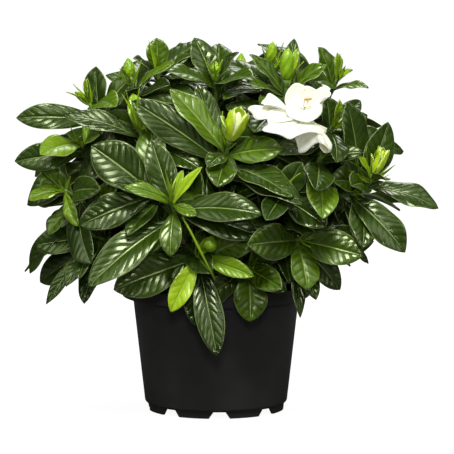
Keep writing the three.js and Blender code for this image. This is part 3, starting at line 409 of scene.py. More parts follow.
# Each shoot: where its youngest leaves meet, where it points, and how many more leaves stand round it.
# Each leaf: joint, tip x, y, z, width, arch, lean, and age from 0, dark and old, to 1, new and yellow-green.
SHOOTS = [
    planned((-32, -108, 169), (-0.15, -0.75, 0.65), 0, leaves=[
        (1, 32, -128, 168, 25, 45, 0, 0.02), (1, 32, -114, 146, 24, 40, 10, 0),
        (2, -93, -122, 110, 31, 30, 0, 0.12), (1, -33, -122, 132, 17, 55, 0, 0.25),
        (2, -41, -96, 216, 23, 40, 0, 0.1),
    ], young=[
        (0, -10, -112, 197, 9, 20, 0, 1), (0, -24, -100, 193, 8, 20, 0, 0.95),
        (0, -67, -118, 183, 12, 60, 0, 0.6), (0, -14, -120, 162, 10, 30, 0, 0.5),
    ]),
    planned((-13, -96, 129), (0, -0.9, 0.3), 1, leaves=[
        (1, -75, -98, 104, 32, 30, 0, 0.2), (2, -15, -96, 77, 20, 30, 0, 0.05),
        (1, 1, -118, 58, 22, 25, 0, 0),
    ], young=[
        (0, -33, -108, 89, 18, 25, 0, 0.85), (0, 28, -112, 116, 15, 25, 0, 0.8),
        (0, -2, -106, 145, 9, 20, 0, 0.9),
    ]),
    planned((9, -84, 209), (0.1, -0.5, 0.85), 2, bud=(18, -98, 238, 8), leaves=[
        (1, -34, -70, 249, 25, 20, 0, 0.42), (2, -62, -76, 241, 27, 30, -35, 0.12),
        (3, -14, -56, 251, 22, 20, 0, 0.1), (1, -6, -108, 196, 15, 50, 0, 0.2),
        (1, 1, -112, 182, 24, 45, 0, 0.22), (1, 49, -96, 208, 22, 40, 35, 0.38),
        (2, 56, -122, 176, 28, 30, 0, 0.12), (3, 63, -120, 163, 26, 30, 0, 0.05),
    ]),
    planned((52, -45, 248), (0.05, -0.3, 0.95), 5, bud=(53, -49, 276, 5.4), leaves=[
        (1, 25, -40, 271, 18, 30, 0, 0.3), (1, 16, -55, 252, 20, 35, 0, 0.35),
        (1, 35, -64, 246, 17, 35, 0, 0.3), (1, 82, -40, 263, 21, 35, 0, 0.35),
        (2, 58, -10, 279, 14, 20, 0, 0.1),
    ], young=[
        (0, 57, -36, 277, 8, 15, 0, 0.8),
    ]),
    planned((90, -15, 249), (0.35, -0.45, 0.8), 8, leaves=[
        (1, 76, -12, 273, 20, 30, 0, 0.3), (1, 113, -22, 244, 12, 40, 0, 0.35),
    ], young=[
        (0, 90, -15, 269, 9, 15, 0, 0.8), (0, 99, -20, 259, 7, 15, 0, 0.85),
    ]),
    planned((87, -62, 222), (0.4, -0.6, 0.7), 7, leaves=[
        (1, 107, -20, 234, 14, 30, 0, 0.1), (1, 81, -60, 242, 20, 30, 0, 0.03),
    ], young=[
        (0, 91, -70, 241, 8, 15, 0, 0.8),
    ]),
    planned((115, -60, 180), (0.5, -0.6, 0.6), 4, bud=(124, -64, 205, 5), leaves=[
        (2, 127, -50, 222, 24, 30, 0, 0.12), (2, 110, -72, 236, 27, 25, -10, 0),
        (1, 81, -90, 181, 22, 35, 0, 0.15), (1, 164, -60, 159, 23, 40, 0, 0.05),
    ], young=[
        (0, 125, -86, 184, 13, 40, 0, 0.5), (0, 112, -74, 203, 9, 25, 0, 0.85),
    ]),
    planned((101, -80, 174), (0.45, -0.85, 0.3), 7, leaves=[
        (1, 139, -86, 130, 27, 40, 0, 0.02),
    ]),
    planned((-112, -62, 173), (-0.7, -0.5, 0.5), 7, leaves=[
        (1, -129, -54, 186, 20, 50, 0, 0.4), (2, -124, -64, 139, 20, 40, 0, 0.3),
    ], young=[
        (0, -138, -66, 166, 16, 45, 0, 0.6), (0, -101, -84, 149, 12, 40, 0, 0.6),
    ]),
    planned((-91, -72, 141), (-0.5, -0.7, 0.3), 5, leaves=[
        (1, -125, -76, 90, 13, 25, 0, 0.05), (1, -110, -88, 105, 17, 30, 0, 0.05),
        (1, -135, -60, 127, 22, 40, 0, 0.1), (2, -97, -80, 91, 20, 30, 0, 0.15),
    ]),
    planned((63, -88, 140), (0.4, -0.85, 0.2), 4, leaves=[
        (1, 23, -128, 142, 28, 35, 0, 0.25), (1, 108, -96, 129, 28, 35, 0, 0.3),
        (1, 67, -100, 104, 24, 35, 0, 0.4), (2, 62, -90, 82, 11, 20, 0, 0.1),
        (2, 72, -86, 93, 17, 25, 0, 0.15), (1, 93, -84, 103, 22, 30, 0, 0.1),
    ]),
    planned((78, -76, 200), (0.3, -0.7, 0.6), 6, leaves=[
        (2, 78, -116, 159, 26, 50, 0, 0.5), (1, 73, -122, 181, 24, 30, 0, 0.03),
    ]),
    planned((-48, -98, 179), (-0.4, -0.7, 0.6), 5, leaves=[
        (1, -90, -94, 211, 34, 30, 0, 0.05), (1, -100, -100, 152, 26, 40, -25, 0.1),
        (2, -66, -118, 156, 18, 30, 0, 0.15),
    ]),
    planned((-94, -20, 232), (-0.45, -0.45, 0.75), 8, leaves=[
        (2, -148, -20, 221, 21, 50, -40, 0.08), (2, -89, -8, 258, 22, 20, 0, 0.05),
    ], young=[
        (0, -96, -26, 251, 8, 15, 0, 0.8), (0, -106, -22, 247, 8, 20, 0, 0.8),
    ]),
    planned((-56, -74, 219), (-0.2, -0.6, 0.75), 8, leaves=[
        (1, -112, -70, 229, 19, 40, 0, 0.05),
    ], young=[
        (0, -42, -82, 231, 9, 25, 0, 0.9),
    ]),
    planned((-101, -52, 206), (-0.55, -0.6, 0.55), 7, leaves=[
        (1, -148, -50, 189, 22, 45, -40, 0.05),
    ], young=[
        (0, -129, -84, 202, 22, 40, -35, 0.6),
    ]),
    planned((-63, -30, 248), (-0.15, -0.45, 0.85), 8, bud=(-65, -30, 267, 4.6), leaves=[
        (2, -34, -56, 250, 20, 40, 0, 0.1),
    ]),
    planned((-43, -5, 255), (0, -0.35, 0.9), 7, leaves=[
        (1, -17, -20, 268, 18, 30, 0, 0.25), (1, -61, -12, 265, 20, 30, 0, 0.1),
    ], young=[
        (0, -44, -5, 279, 18, 20, 0, 0.45),
    ]),
    planned((0, -25, 250), (0, -0.4, 0.9), 8, bud=(0, -27, 264, 4), leaves=[
        (1, -18, -8, 278, 22, 25, 0, 0.15),
    ]),
    planned((51, -104, 179), (0.1, -0.85, 0.45), 3, leaves=[
        (2, 81, -110, 152, 24, 40, 0, 0.1), (2, 62, -102, 198, 20, 30, 0, 0.1),
    ]),
    planned((26, -86, 117), (0.2, -0.9, 0), 4, leaves=[
        (1, 45, -100, 108, 20, 30, 0, 0.15), (1, 25, -90, 79, 26, 30, 0, 0.35),
        (2, 48, -90, 100, 16, 30, 0, 0.2), (2, 52, -80, 141, 22, 30, 0, 0.1),
        (3, -4, -76, 143, 22, 30, 0, 0.1),
    ]),
    planned((40, -20, 257), (0, 0, 1), 7, bud=(42, -27, 279, 4.2)),
    planned((61, -66, 218), (0.1, -0.8, 0.6), 6, spikes=0, flower=True),
]
# The shoots at the sides and the back stand over a dome, each given by its bearing and its rise.
DOME_CENTRE = np.array([3.0, 2.0, 112.0])
DOME_RADII = np.array([108.0, 106.0, 136.0])
WAY_RAISED = 0.35
BUD_EVERY = 4
DOME_SHOOTS = (
    (8, 26), (32, 16), (57, 8), (82, 6), (106, 6), (130, 6), (154, 6), (178, 8),
    (28, 50), (66, 36), (98, 38), (130, 36), (160, 38), (72, 66), (118, 66),
)
for angle, rise in DOME_SHOOTS:
    angle, rise = math.radians(angle), math.radians(rise)
    place = np.array([math.cos(angle) * math.cos(rise), math.sin(angle) * math.cos(rise), math.sin(rise)])
    crown = place * DOME_RADII + DOME_CENTRE
    budding = len(SHOOTS) % BUD_EVERY == 0
    SHOOTS.append(planned(crown, place + WAY_RAISED * UP, 9, spikes=1, bud_of_rule=budding))


def unit(vector):
    """A direction of length one."""
    return vector / np.linalg.norm(vector)


def turned_about(vector, axis, angle):
    """A vector turned about an axis, right-handed."""
    across, ahead = np.cross(axis, vector), axis * np.dot(axis, vector)
    return vector * math.cos(angle) + across * math.sin(angle) + ahead * (1 - math.cos(angle))


def cad_corners(node):
    """The corners of a CAD node, in millimetres."""
    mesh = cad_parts[node].data
    corners = np.zeros(len(mesh.vertices) * 3, np.float32)
    mesh.vertices.foreach_get("co", corners)
    return corners.reshape(-1, 3).astype(float) / MM


def nearest(corners, point):
    """How far a point lies from the closest corner."""
    return float(np.sqrt(((corners - point) ** 2).sum(1).min()))


for number, plan in enumerate(SHOOTS):
    plan["name"] = f"shoot_{number + 1:02d}"
    plan["crown"] = np.array(plan["crown"], float)
    plan["way"] = unit(np.array(plan["way"], float))
    plan["foot"] = plan["crown"] - plan["way"] * SHOOT_LENGTH
    up = UP - plan["way"] * np.dot(UP, plan["way"])
    if np.linalg.norm(up) < 0.2:
        up = np.array([0.0, -1.0, 0.0]) + plan["way"] * plan["way"][1]
    plan["up"] = unit(up)
    plan["right"] = np.cross(plan["up"], plan["way"])


def bezier(controls, steps):
    """Points along a Bezier curve."""
    t = np.linspace(0, 1, steps + 1)[:, None]
    points = [np.array(p, float) for p in controls]
    layer = [np.repeat(p[None, :], len(t), 0) for p in points]
    while len(layer) > 1:
        layer = [(1 - t) * a + t * b for a, b in zip(layer, layer[1:])]
    return layer[0]


def halfway(points):
    """The point at half the length of a line of points."""
    lengths = np.concatenate([[0], np.cumsum(np.linalg.norm(np.diff(points, axis=0), axis=1))])
    return np.array([np.interp(lengths[-1] / 2, lengths, points[:, k]) for k in range(3)])


def trunk_controls(third):
    """The three control points of a trunk."""
    turn = math.radians(THIRDS[third])
    at = lambda radius, height: (radius * math.cos(turn), radius * math.sin(turn), height)
    middle = at(TRUNK_RING_RADIUS, (SOIL_EDGE_HEIGHT + TRUNK_TOP_HEIGHT) / 2)
    foot = at(TRUNK_RING_RADIUS, SOIL_EDGE_HEIGHT - TRUNK_DEPTH)
    return foot, middle, at(TRUNK_RING_RADIUS + TRUNK_LEAN, TRUNK_TOP_HEIGHT)


def third_of(place):
    """Which trunk stands nearest to a direction from the middle."""
    angle = math.degrees(math.atan2(place[1], place[0]))
    away = [abs((angle - other + 540) % 360 - 180) for other in THIRDS]
    return away.index(min(away))


def branch_controls(plan, third, bow):
    """The four control points of the branch from a trunk to a shoot."""
    end = plan["foot"] - plan["way"] * CLEARANCE
    share = min(BRANCH_BASE_SHARES[1], max(BRANCH_BASE_SHARES[0], (end[2] - 70) / 110))
    foot, middle, top = (np.array(p) for p in trunk_controls(third))
    start = (1 - share) ** 2 * foot + 2 * share * (1 - share) * middle + share ** 2 * top
    reach = np.linalg.norm(end - start)
    sideways = unit(np.cross(end - start, UP))
    leave = start + 0.3 * (end - start) + UP * reach * 0.12 + sideways * bow
    return start, leave, end - plan["way"] * reach * 0.35, end


def spokes(angles, across, other):
    """The directions at angles between two directions at right angles."""
    return np.cos(angles)[..., None] * across + np.sin(angles)[..., None] * other


def tube(points, radii, sides, attributes=None, material=0):
    """A round stem along a line of points, closed at both ends."""
    points = np.asarray(points, float)
    ways = np.gradient(points, axis=0)
    ways /= np.linalg.norm(ways, axis=1)[:, None]
    first = UP if abs(ways[0] @ UP) < 0.9 else np.array([1.0, 0.0, 0.0])
    rows, across = [], unit(np.cross(ways[0], first))
    angles = np.linspace(0, 2 * math.pi, sides, endpoint=False)
    for point, way, radius in zip(points, ways, np.broadcast_to(radii, len(points))):
        across = unit(across - way * np.dot(across, way))
        rows.append(point + radius * spokes(angles, across, np.cross(way, across)))
    return shape(np.concatenate(rows), closed_faces(len(rows), sides), attributes, material)


bark = mottled(
    "Grey-brown bark", 140.0, 700.0, 0.5, (0.07, 0.045, 0.026), (0.19, 0.15, 0.1), Roughness=0.8)[0]

TRUNK_STEPS = 24
BRANCH_STEPS = 16
wood_corners = [cad_corners(f"wood_{third + 1}") for third in range(3)]
woods = []
for third in range(3):
    line = bezier(trunk_controls(third), TRUNK_STEPS)
    radii = np.linspace(TRUNK_RADIUS, TRUNK_RADIUS * 0.8, len(line)) + 0.35 * bumps(line, 0.5, 20 + third)
    woods.append([tube(line, radii, 14)])
for plan in SHOOTS:
    third = third_of(plan["foot"])
    misses = []
    for bow in BRANCH_BOWS:
        middle = halfway(bezier(branch_controls(plan, third, bow), 200))
        misses.append(abs(nearest(wood_corners[third], middle) - BRANCH_RADIUS))
    close = [bow for bow, miss in zip(BRANCH_BOWS, misses) if miss < 0.05]
    line = bezier(branch_controls(plan, third, close[0] if close else 0), BRANCH_STEPS)
    radii = np.linspace(BRANCH_RADIUS, BRANCH_RADIUS * 0.75, len(line)) + 0.15 * bumps(line, 0.8, 30)
    woods[third].append(tube(line, radii, 8))
    plan["branch"] = line
for third, shapes in enumerate(woods):
    piece(f"woody_stem_{third + 1}", shapes, [bark], [f"wood_{third + 1}"])

# Leafy shoots: a green stem with whorls of three leathery leaves. Each blade is folded
# along a pale midrib, quilted between its side veins, and thin-edged.
SHOOT_RADIUS = 1.7
JOINT_DROPS = (2, 10, 19, 29, 40)
LEAF_FOLD = math.radians(14)
LEAF_OUTLINE = (1.25, 0.85)
LEAF_THICKNESS = 0.26
WAVE_SHARE = 0.13
QUILT_HEIGHT = 0.42
GROOVE_DEPTH = 0.35
RIB_HEIGHT = 0.4
RIB_SHARE = 0.06
VEIN_PITCH = 7.0
FEWEST_VEINS, MOST_VEINS = 5, 11
WHOLE_TURN = 6.28
WHORL_SPREAD = (34, 54, 76, 94, 104)
WHORL_LENGTH = (34, 52, 64, 70, 70)
TURNS = (
    (0, 0), (6, 0), (-6, 0), (0, 7), (0, -7), (9, 8), (9, -8), (-9, 8), (-9, -8), (14, 0), (-14, 0),
    (0, 15), (0, -15), (14, 14), (14, -14), (-14, 14), (-14, -14), (20, 0), (-20, 0), (0, 24), (0, -24),
)
FAR_TURNS = (
    (-28, 0), (-28, 18), (-28, -18), (-38, 0), (0, 50), (0, -50), (-20, 50), (-20, -50), (0, 95), (0, -95),
)
SHORTENINGS = (1, 0.86, 0.72)
SAME_PLACE = 0.05
draw_state = [20]


def draw(low, high):
    """The plant's own seeded draw."""
    draw_state[0] = (draw_state[0] * 1664525 + 1013904223) % 4294967296
    return low + (high - low) * (draw_state[0] / 4294967296)


def outline_width(outline, s):
    """A blade's half width, as a share of its widest, at places along it."""
    rise, fall = outline
    widest = rise / (rise + fall)
    return (s / widest) ** rise * ((1 - s) / (1 - widest)) ** fall


def blade_frame(blade, s):
    """The middle line of an arched blade with its side and face directions, at places along it."""
    chord = blade["tip"] - blade["base"]
    length = np.linalg.norm(chord)
    along = chord / length
    upper = unit(blade["face"] - along * np.dot(blade["face"], along))
    upper = turned_about(upper, along, blade["twist"])
    side = np.cross(along, upper)
    half = blade["bend"] / 2
    radius = length / (2 * math.sin(half))
    angle = (half - blade["bend"] * s)[:, None]
    middle = blade["base"] + radius * (math.sin(half) - np.sin(angle)) * along
    middle = middle + radius * (np.cos(angle) - math.cos(half)) * upper
    return middle, side, upper * np.cos(angle) - along * np.sin(angle)


def thin_shell(top, bottom, attributes, material=0):
    """A closed thin blade from the grids of points of its two faces."""
    rows, columns = top.shape[:2]
    count = rows * columns
    faces = ring_faces(rows, columns, wrap=False)
    under = [tuple(i + count for i in f[::-1]) for f in faces]
    edges, final = [], columns - 1
    for r in range(rows - 1):
        here, following = r * columns, (r + 1) * columns
        edges += [(here, following), (following + final, here + final)]
    for c in range(columns - 1):
        end = count - columns + c
        edges += [(c + 1, c), (end, end + 1)]
    rim = [(a, b, b + count, a + count) for a, b in edges]
    values = {}
    for key, value in attributes.items():
        grid = np.broadcast_to(value, (rows, columns)).ravel()
        values[key] = np.concatenate([grid, grid])
    values["under"] = np.concatenate([np.zeros(count), np.ones(count)])
    points = np.concatenate([top.reshape(-1, 3), bottom.reshape(-1, 3)])
    return shape(points, faces + under + rim, values, material)


# How finely a leaf is divided: rows for each side vein, and places across each half.
FINE = (4, (0.0, 0.07, 0.24, 0.42, 0.6, 0.78, 0.93, 1.0))
PLAIN = (3, (0.0, 0.08, 0.35, 0.65, 0.91, 1.0))
COARSE = (2, (0.0, 0.3, 0.85, 1.0))


def leaf_shape(blade, age, chance, division):
    """A leaf with its folded, quilted and waved blade."""
    length = np.linalg.norm(blade["tip"] - blade["base"])
    veins = int(min(MOST_VEINS, max(FEWEST_VEINS, round(length / VEIN_PITCH))))
    rows, places = veins * division[0], division[1]
    v = np.array([-p for p in reversed(places[1:])] + list(places))
    s = np.linspace(0, 1, rows + 1)
    middle, side, normal = blade_frame(blade, s)
    widths = outline_width(LEAF_OUTLINE, np.clip(s, 0, 1))
    reach = blade["width"] / 2 * widths
    stalk = 0.75 + 0.5 * np.exp(-s * length / 2.5)
    reach = np.maximum(reach, np.where(s < 0.5, stalk, 0.12))
    share = np.abs(v)[None, :]
    fold = LEAF_FOLD + max(0.0, age - 0.65) * 0.9
    fold = (fold + 0.25 * np.exp(-s / 0.18))[:, None]
    flat = (v[None, :] * reach[:, None] * np.cos(fold))[..., None] * side
    lift = share * reach[:, None] * np.sin(fold)
    lift = lift - 0.10 * reach[:, None] * share ** 3
    phase = chance.uniform(0, WHOLE_TURN)
    turns = chance.uniform(1.2, 2.4)
    wave = np.sin(WHOLE_TURN * turns * s[:, None] + phase + np.where(v > 0, 0.0, 2.2)[None, :])
    lift = lift + wave * share ** 2 * reach[:, None] * WAVE_SHARE
    shift = np.where(v > 0, 0.4, 0.0)[None, :]
    drift = chance.uniform(0, WHOLE_TURN)
    uneven = 0.22 * np.sin(5 * s[:, None] + drift) + 0.12 * np.sin(13 * s[:, None] + 2 * drift + 3 * shift)
    vein = veins * (s[:, None] - 0.2 * share ** 1.2 * widths[:, None]) + shift + uneven
    envelope = np.clip((share - 0.03) / 0.25, 0, 1) * (1 - share ** 5) * np.clip(widths[:, None] * 1.6, 0, 1)
    swell = np.abs(np.sin(math.pi * vein)) ** 0.65 * envelope
    patches = np.sin(4 * s[:, None] + 2 * shift * drift + drift) * np.sin(9 * s[:, None] + 5 * share)
    fullness = 0.75 + 0.45 * patches
    near_rib = np.exp(-(share / RIB_SHARE) ** 2)
    lift = lift + swell * fullness * (QUILT_HEIGHT - 0.2 * age) - GROOVE_DEPTH * near_rib
    surface = middle[:, None, :] + flat + lift[..., None] * normal[:, None, :]
    stout = np.exp(-s * length / 6)[:, None] * np.exp(-(share / 0.5) ** 2)
    thick = (LEAF_THICKNESS - 0.12 * share + 0.35 * stout)[..., None]
    top = surface + thick * normal[:, None, :]
    bottom = surface - (thick + RIB_HEIGHT * near_rib[..., None]) * normal[:, None, :]
    attributes = {
        "along": s[:, None], "across": v[None, :], "vein": vein, "age": age,
        "tone": chance.uniform(0, 1),
    }
    return thin_shell(top, bottom, attributes)


def grown(plan, row, turns):
    """The blade that the plant has for a planned leaf: the one whose tip its CAD node has."""
    joint, x, y, z, width, bend, twist = row[:7]
    blade = {
        "base": plan["crown"] - plan["way"] * JOINT_DROPS[joint], "face": plan["way"],
        "bend": math.radians(bend), "twist": math.radians(twist),
    }
    planned = np.array([x, y, z], float) - blade["base"]
    for shortening in SHORTENINGS:
        for away, round_stem in turns:
            chord = planned * shortening
            hinge = unit(np.cross(plan["way"], chord))
            chord = turned_about(chord, hinge, math.radians(away))
            chord = turned_about(chord, plan["way"], math.radians(round_stem))
            tip = blade["base"] + chord
            if nearest(plan["corners"], tip) < SAME_PLACE:
                return {**blade, "tip": tip, "width": width * shortening}
    return None


def whorl_tip(plan, joint, clock, spread, length):
    """The tip of a leaf placed round a joint."""
    outward = plan["up"] * math.cos(clock) + plan["right"] * math.sin(clock)
    tip = plan["crown"] + plan["way"] * (length * math.cos(spread) - JOINT_DROPS[joint])
    return tip + outward * length * math.sin(spread)


# Leaf relief: the vein network, the creases beside the veins where shade is painted, midrib and margin masks
# (the margin takes a painted highlight), and the height of the quilting
leaf_relief, ends_in, ends_out = group(
    "Leaf relief", {"Vein width": 0.16, "Quilting": 1.0}, ["Veins", "Creases", "Midrib", "Margin", "Height"])


def value_of(tree, name):
    """A value kept at the points of a shape."""
    return add(tree, "Attribute", attribute_name=name).outputs["Fac"]


tree = leaf_relief
across = maths(tree, "ABSOLUTE", value_of(tree, "across"))
ridge = maths(tree, "ABSOLUTE", maths(tree, "SUBTRACT", maths(tree, "FRACT", value_of(tree, "vein")), 0.5))
from_vein = maths(tree, "SUBTRACT", 1.0, product(tree, ridge, 2.0))
near_vein = ramp(tree, from_vein, 0.0, ends_in.outputs["Vein width"], 1.0, 0.0)
blade_part = product(tree, ramp(tree, across, 0.03, 0.2), ramp(tree, across, 0.8, 0.95, 1.0, 0.0))
from_rib = maths(tree, "DIVIDE", across, ramp(tree, value_of(tree, "along"), 0.0, 1.0, 0.055, 0.02))
swell = product(tree, maths(tree, "POWER", maths(tree, "MAXIMUM", from_vein, 0.0), 0.55), blade_part)
set_up(
    tree, ends_out, Veins=product(tree, near_vein, blade_part), Margin=ramp(tree, across, 0.94, 0.99),
    Creases=product(tree, ramp(tree, from_vein, 0.05, 0.5, 1.0, 0.0), blade_part),
    Midrib=ramp(tree, from_rib, 0.55, 1.0, 1.0, 0.0),
    Height=product(tree, swell, ends_in.outputs["Quilting"]))

leaf_skin, tree, shader = finish("Gardenia leaf")
relief = use(tree, leaf_relief, Vein_width=0.15, Quilting=1.0)
speckle = use(tree, mottle, Cloud_scale=55.0, Grain_scale=1100.0)
age, under, tone = (value_of(tree, name) for name in ("age", "under", "tone"))
mature = blended(tree, tone, (0.008, 0.021, 0.001), (0.019, 0.042, 0.0015))
middling = blended(tree, tone, (0.06, 0.12, 0.002), (0.09, 0.17, 0.003))
new = blended(tree, tone, (0.21, 0.38, 0.006), (0.36, 0.54, 0.012))
colour = blended(tree, ramp(tree, age, 0.05, 0.5), mature, middling)
colour = blended(tree, ramp(tree, age, 0.45, 1.0), colour, new)
for share, shade in (
    (product(tree, ramp(tree, speckle.outputs["Cloud"], 0.4, 0.7), 0.3), (0.04, 0.085, 0.003)),
    # painted shade: the creases beside the side veins are darkened, most on old leaves
    (product(tree, relief.outputs["Creases"], ramp(tree, age, 0.3, 0.75, 0.6, 0.08)), (0.004, 0.013, 0.0006)),
    (product(tree, relief.outputs["Veins"], ramp(tree, age, 0.2, 0.8, 0.08, 0.22)), (0.1, 0.16, 0.015)),
    (product(tree, under, 0.7), (0.085, 0.14, 0.02)),
    (product(tree, relief.outputs["Midrib"], 0.7), (0.26, 0.34, 0.1)),
    # painted highlight: a pale band along the margin stands in for the light caught by the leaf's edge
    (product(tree, relief.outputs["Margin"], 0.55), (0.34, 0.4, 0.16)),
):
    colour = blended(tree, share, colour, shade)
gloss = ramp(tree, speckle.outputs["Cloud"], 0.3, 0.7, 0.22, 0.35)
quilt = bump(tree, relief.outputs["Height"], 0.32)
set_up(
    tree, shader, Base_Color=colour, Roughness=maths(tree, "ADD", gloss, product(tree, under, 0.25)),
    Normal=bump(tree, speckle.outputs["Grain"], 0.05, quilt), Specular_IOR_Level=0.65,
    Specular_Tint=(0.88, 1.0, 0.6, 1.0))

green_stem = mottled(
    "Green stem", 120.0, 900.0, 0.12, (0.07, 0.14, 0.02), (0.16, 0.27, 0.04), Roughness=0.45)[0]

SHOOT_ROWS = 13
for plan in SHOOTS:
    plan["corners"] = cad_corners(plan["name"])
    stations = np.linspace(0, 1, SHOOT_ROWS)
    line = plan["foot"] + stations[:, None] * (plan["crown"] - plan["foot"])
    drops = SHOOT_LENGTH * (1 - stations)
    swollen = sum(0.35 * np.exp(-((drops - drop) / 1.6) ** 2) for drop in JOINT_DROPS)
    plan["shapes"] = [tube(line, SHOOT_RADIUS * (1 - 0.18 * stations) + swollen, 8, material=1)]

# Leaves of the whorls round a crown that are still young: the shoot's number, the leaf's, and its age
FRESH = {(15, 1): 0.85, (17, 2): 0.5, (16, 2): 0.75, (14, 0): 0.5}
chance = random.Random(5)
for plan in SHOOTS:
    for row in (*plan["young"], *plan["leaves"]):
        blade = grown(plan, row, TURNS)
        if blade:
            plan["shapes"].append(leaf_shape(blade, row[7], chance, FINE))
for number, plan in enumerate(SHOOTS, 1):
    start = draw(0, 120)
    for i in range(plan["extra"]):
        joint = 1 + i // 3
        clock = math.radians(start + 120 * (i % 3) + 60 * joint + draw(-12, 12))
        spread = math.radians(WHORL_SPREAD[joint] + draw(-8, 8))
        length = WHORL_LENGTH[joint] + draw(-6, 6)
        width = length * draw(0.38, 0.44)
        tip = whorl_tip(plan, joint, clock, spread, length)
        row = (joint, *tip, width, draw(25, 55), draw(-12, 12))
        blade = grown(plan, row, TURNS + FAR_TURNS)
        if blade:
            age = max(0.0, chance.uniform(-0.2, 0.28) + (0.12 if joint == 1 else 0.0))
            age = FRESH.get((number, i), age)
            plan["shapes"].append(leaf_shape(blade, age, chance, PLAIN))


# Older leaves low on the branches fill the inside of the bush.
BUSH_CENTRE = np.array([6.0, 0.0, 128.0])
BUSH_RADII = np.array([152.0, 146.0, 150.0])
INNER_SHARE = 0.8
INNER_LOWEST = 100
INNER_STATIONS = (0.5, 0.62, 0.74, 0.86, 0.98)
INNER_SPREAD = (50, 80)
INNER_LENGTH = (44, 62)
for plan in SHOOTS:
    for station in INNER_STATIONS:
        row = int(station * (len(plan["branch"]) - 2))
        node, ahead = plan["branch"][row], unit(plan["branch"][row + 1] - plan["branch"][row])
        side = unit(np.cross(ahead, UP))
        start = chance.uniform(0, 2 * math.pi)
        for k in range(3):
            clock = start + 2 * math.pi * k / 3
            outward = side * math.cos(clock) + np.cross(side, ahead) * math.sin(clock)
            spread, length = math.radians(chance.uniform(*INNER_SPREAD)), chance.uniform(*INNER_LENGTH)
            tip = node + length * (ahead * math.cos(spread) + outward * math.sin(spread))
            outside = (((tip - BUSH_CENTRE) / BUSH_RADII) ** 2).sum() > INNER_SHARE ** 2
            if outside or tip[2] < INNER_LOWEST:
                continue
            blade = {"base": node, "tip": tip, "face": ahead, "width": length * 0.38,
                     "bend": math.radians(chance.uniform(15, 45)), "twist": 0.0}
            plan["shapes"].append(leaf_shape(blade, chance.uniform(0.05, 0.3), chance, COARSE))


def spike_shape(base, tip, width, chance, young=0.75):
    """A slender pointed stipule or unopened leaf, folded along its length."""
    blade = {"base": base, "tip": tip, "face": unit(np.cross(tip - base, (chance.uniform(-1, 1), 1, 0.3))),
             "bend": math.radians(chance.uniform(5, 25)), "twist": chance.uniform(0, WHOLE_TURN)}
    s = np.linspace(0, 1, 9)
    v = np.array([-1, -0.5, 0, 0.5, 1])
    middle, side, normal = blade_frame(blade, s)
    reach = width / 2 * np.maximum(np.minimum(1, s * 5 + 0.5) * (1 - s ** 2), 0.08)
    flat = (v[None, :] * reach[:, None] * 0.75)[..., None] * side
    outward = normal[:, None, :]
    surface = middle[:, None, :] + flat + (np.abs(v)[None, :] * reach[:, None] * 0.65)[..., None] * outward
    attributes = {"along": s[:, None], "across": v[None, :] * 0.85, "vein": 0.5,
                  "age": chance.uniform(young, 1.0), "tone": chance.uniform(0, 1)}
    return thin_shell(surface + 0.2 * outward, surface - 0.25 * outward, attributes)


# Where the tips of the longer stipules and unopened leaves stand, by the shoot's number
LONG_SPIKES = {
    1: ((-37, -112, 195), (-29, -112, 187), (-33, -112, 184)),
    3: ((5, -90, 235), (15, -90, 212)),
    4: ((44, -49, 269), (62, -49, 275), (65, -49, 267), (59, -49, 262)),
    5: ((92, -19, 269), (96, -19, 260), (99, -19, 255)),
    6: ((92, -68, 233), (87, -68, 228), (94, -68, 224)),
    7: ((111, -70, 206), (120, -70, 207), (132, -70, 193), (97, -70, 196), (101, -70, 201), (94, -70, 191)),
    9: ((-107, -66, 184), (-115, -66, 181)),
    14: ((-106, -24, 247), (-111, -24, 241), (-95, -24, 251), (-90, -24, 245)),
    15: ((-69, -82, 247), (-66, -82, 250), (-62, -82, 242), (-56, -82, 251), (-59, -82, 238)),
    16: ((-106, -58, 209), (-97, -58, 210)),
    17: ((-71, -34, 260), (-66, -34, 265), (-55, -34, 266), (-75, -34, 256)),
    18: ((-50, -10, 278), (-39, -10, 278)),
    19: ((-9, -30, 267), (-5, -30, 268), (5, -30, 266), (-1, -30, 265)),
    20: ((62, -108, 192), (57, -108, 182)),
    22: ((34, -24, 274), (39, -24, 277), (45, -24, 277), (50, -24, 278), (54, -24, 274)),
}
SHORT_SPIKES = 5
for number, plan in enumerate(SHOOTS, 1):
    base = plan["crown"] - plan["way"] * JOINT_DROPS[0]
    for tip in LONG_SPIKES.get(number, ()):
        plan["shapes"].append(spike_shape(base, np.array(tip, float), chance.uniform(3.6, 5.0), chance, 0.95))
    for i in range(plan["spikes"]):
        clock = math.radians(360 / plan["spikes"] * i + draw(-25, 25))
        lean = math.radians(draw(10, 24))
        tip = whorl_tip(plan, 0, clock, lean, draw(14, 24))
        if nearest(plan["corners"], tip) < SAME_PLACE:
            plan["shapes"].append(spike_shape(base, tip, 2.6, chance))
    for i in range(SHORT_SPIKES if plan["spikes"] else 0):
        clock = math.radians(360 / SHORT_SPIKES * i + chance.uniform(-30, 30))
        lean = math.radians(chance.uniform(6, 30))
        tip = whorl_tip(plan, 0, clock, lean, chance.uniform(9, 20))
        plan["shapes"].append(spike_shape(base, tip, chance.uniform(1.2, 2.2), chance))

# A bare stalk hangs in front of the low shoots, a little swollen at the joint halfway down.
stalk = np.array([
    (-24.3, -113, 160.2), (-18, -115.5, 149), (-13, -116, 138.8), (-7, -116, 127), (-0.8, -114, 114.1),
])
stalk_radii = 0.85 + 0.3 * np.exp(-((np.arange(len(stalk)) - 2) / 0.3) ** 2)
young_skin = {"age": 0.75, "tone": 0.4, "vein": 0.5, "across": 0.5}
SHOOTS[0]["shapes"].append(tube(stalk, stalk_radii, 8, young_skin))

# Buds: slender green spindles whose furled petals wind round each other, each standing
# in a short ribbed cup at the crown of its shoot. Two are opening: broad sheaths part round
# the cream petals.
CALYX_LENGTH = 5
CALYX_RADIUS = 3
CALYX_SUNK = 1.5
RULE_BUD_REACH = 26
RULE_BUD_RADIUS = 5

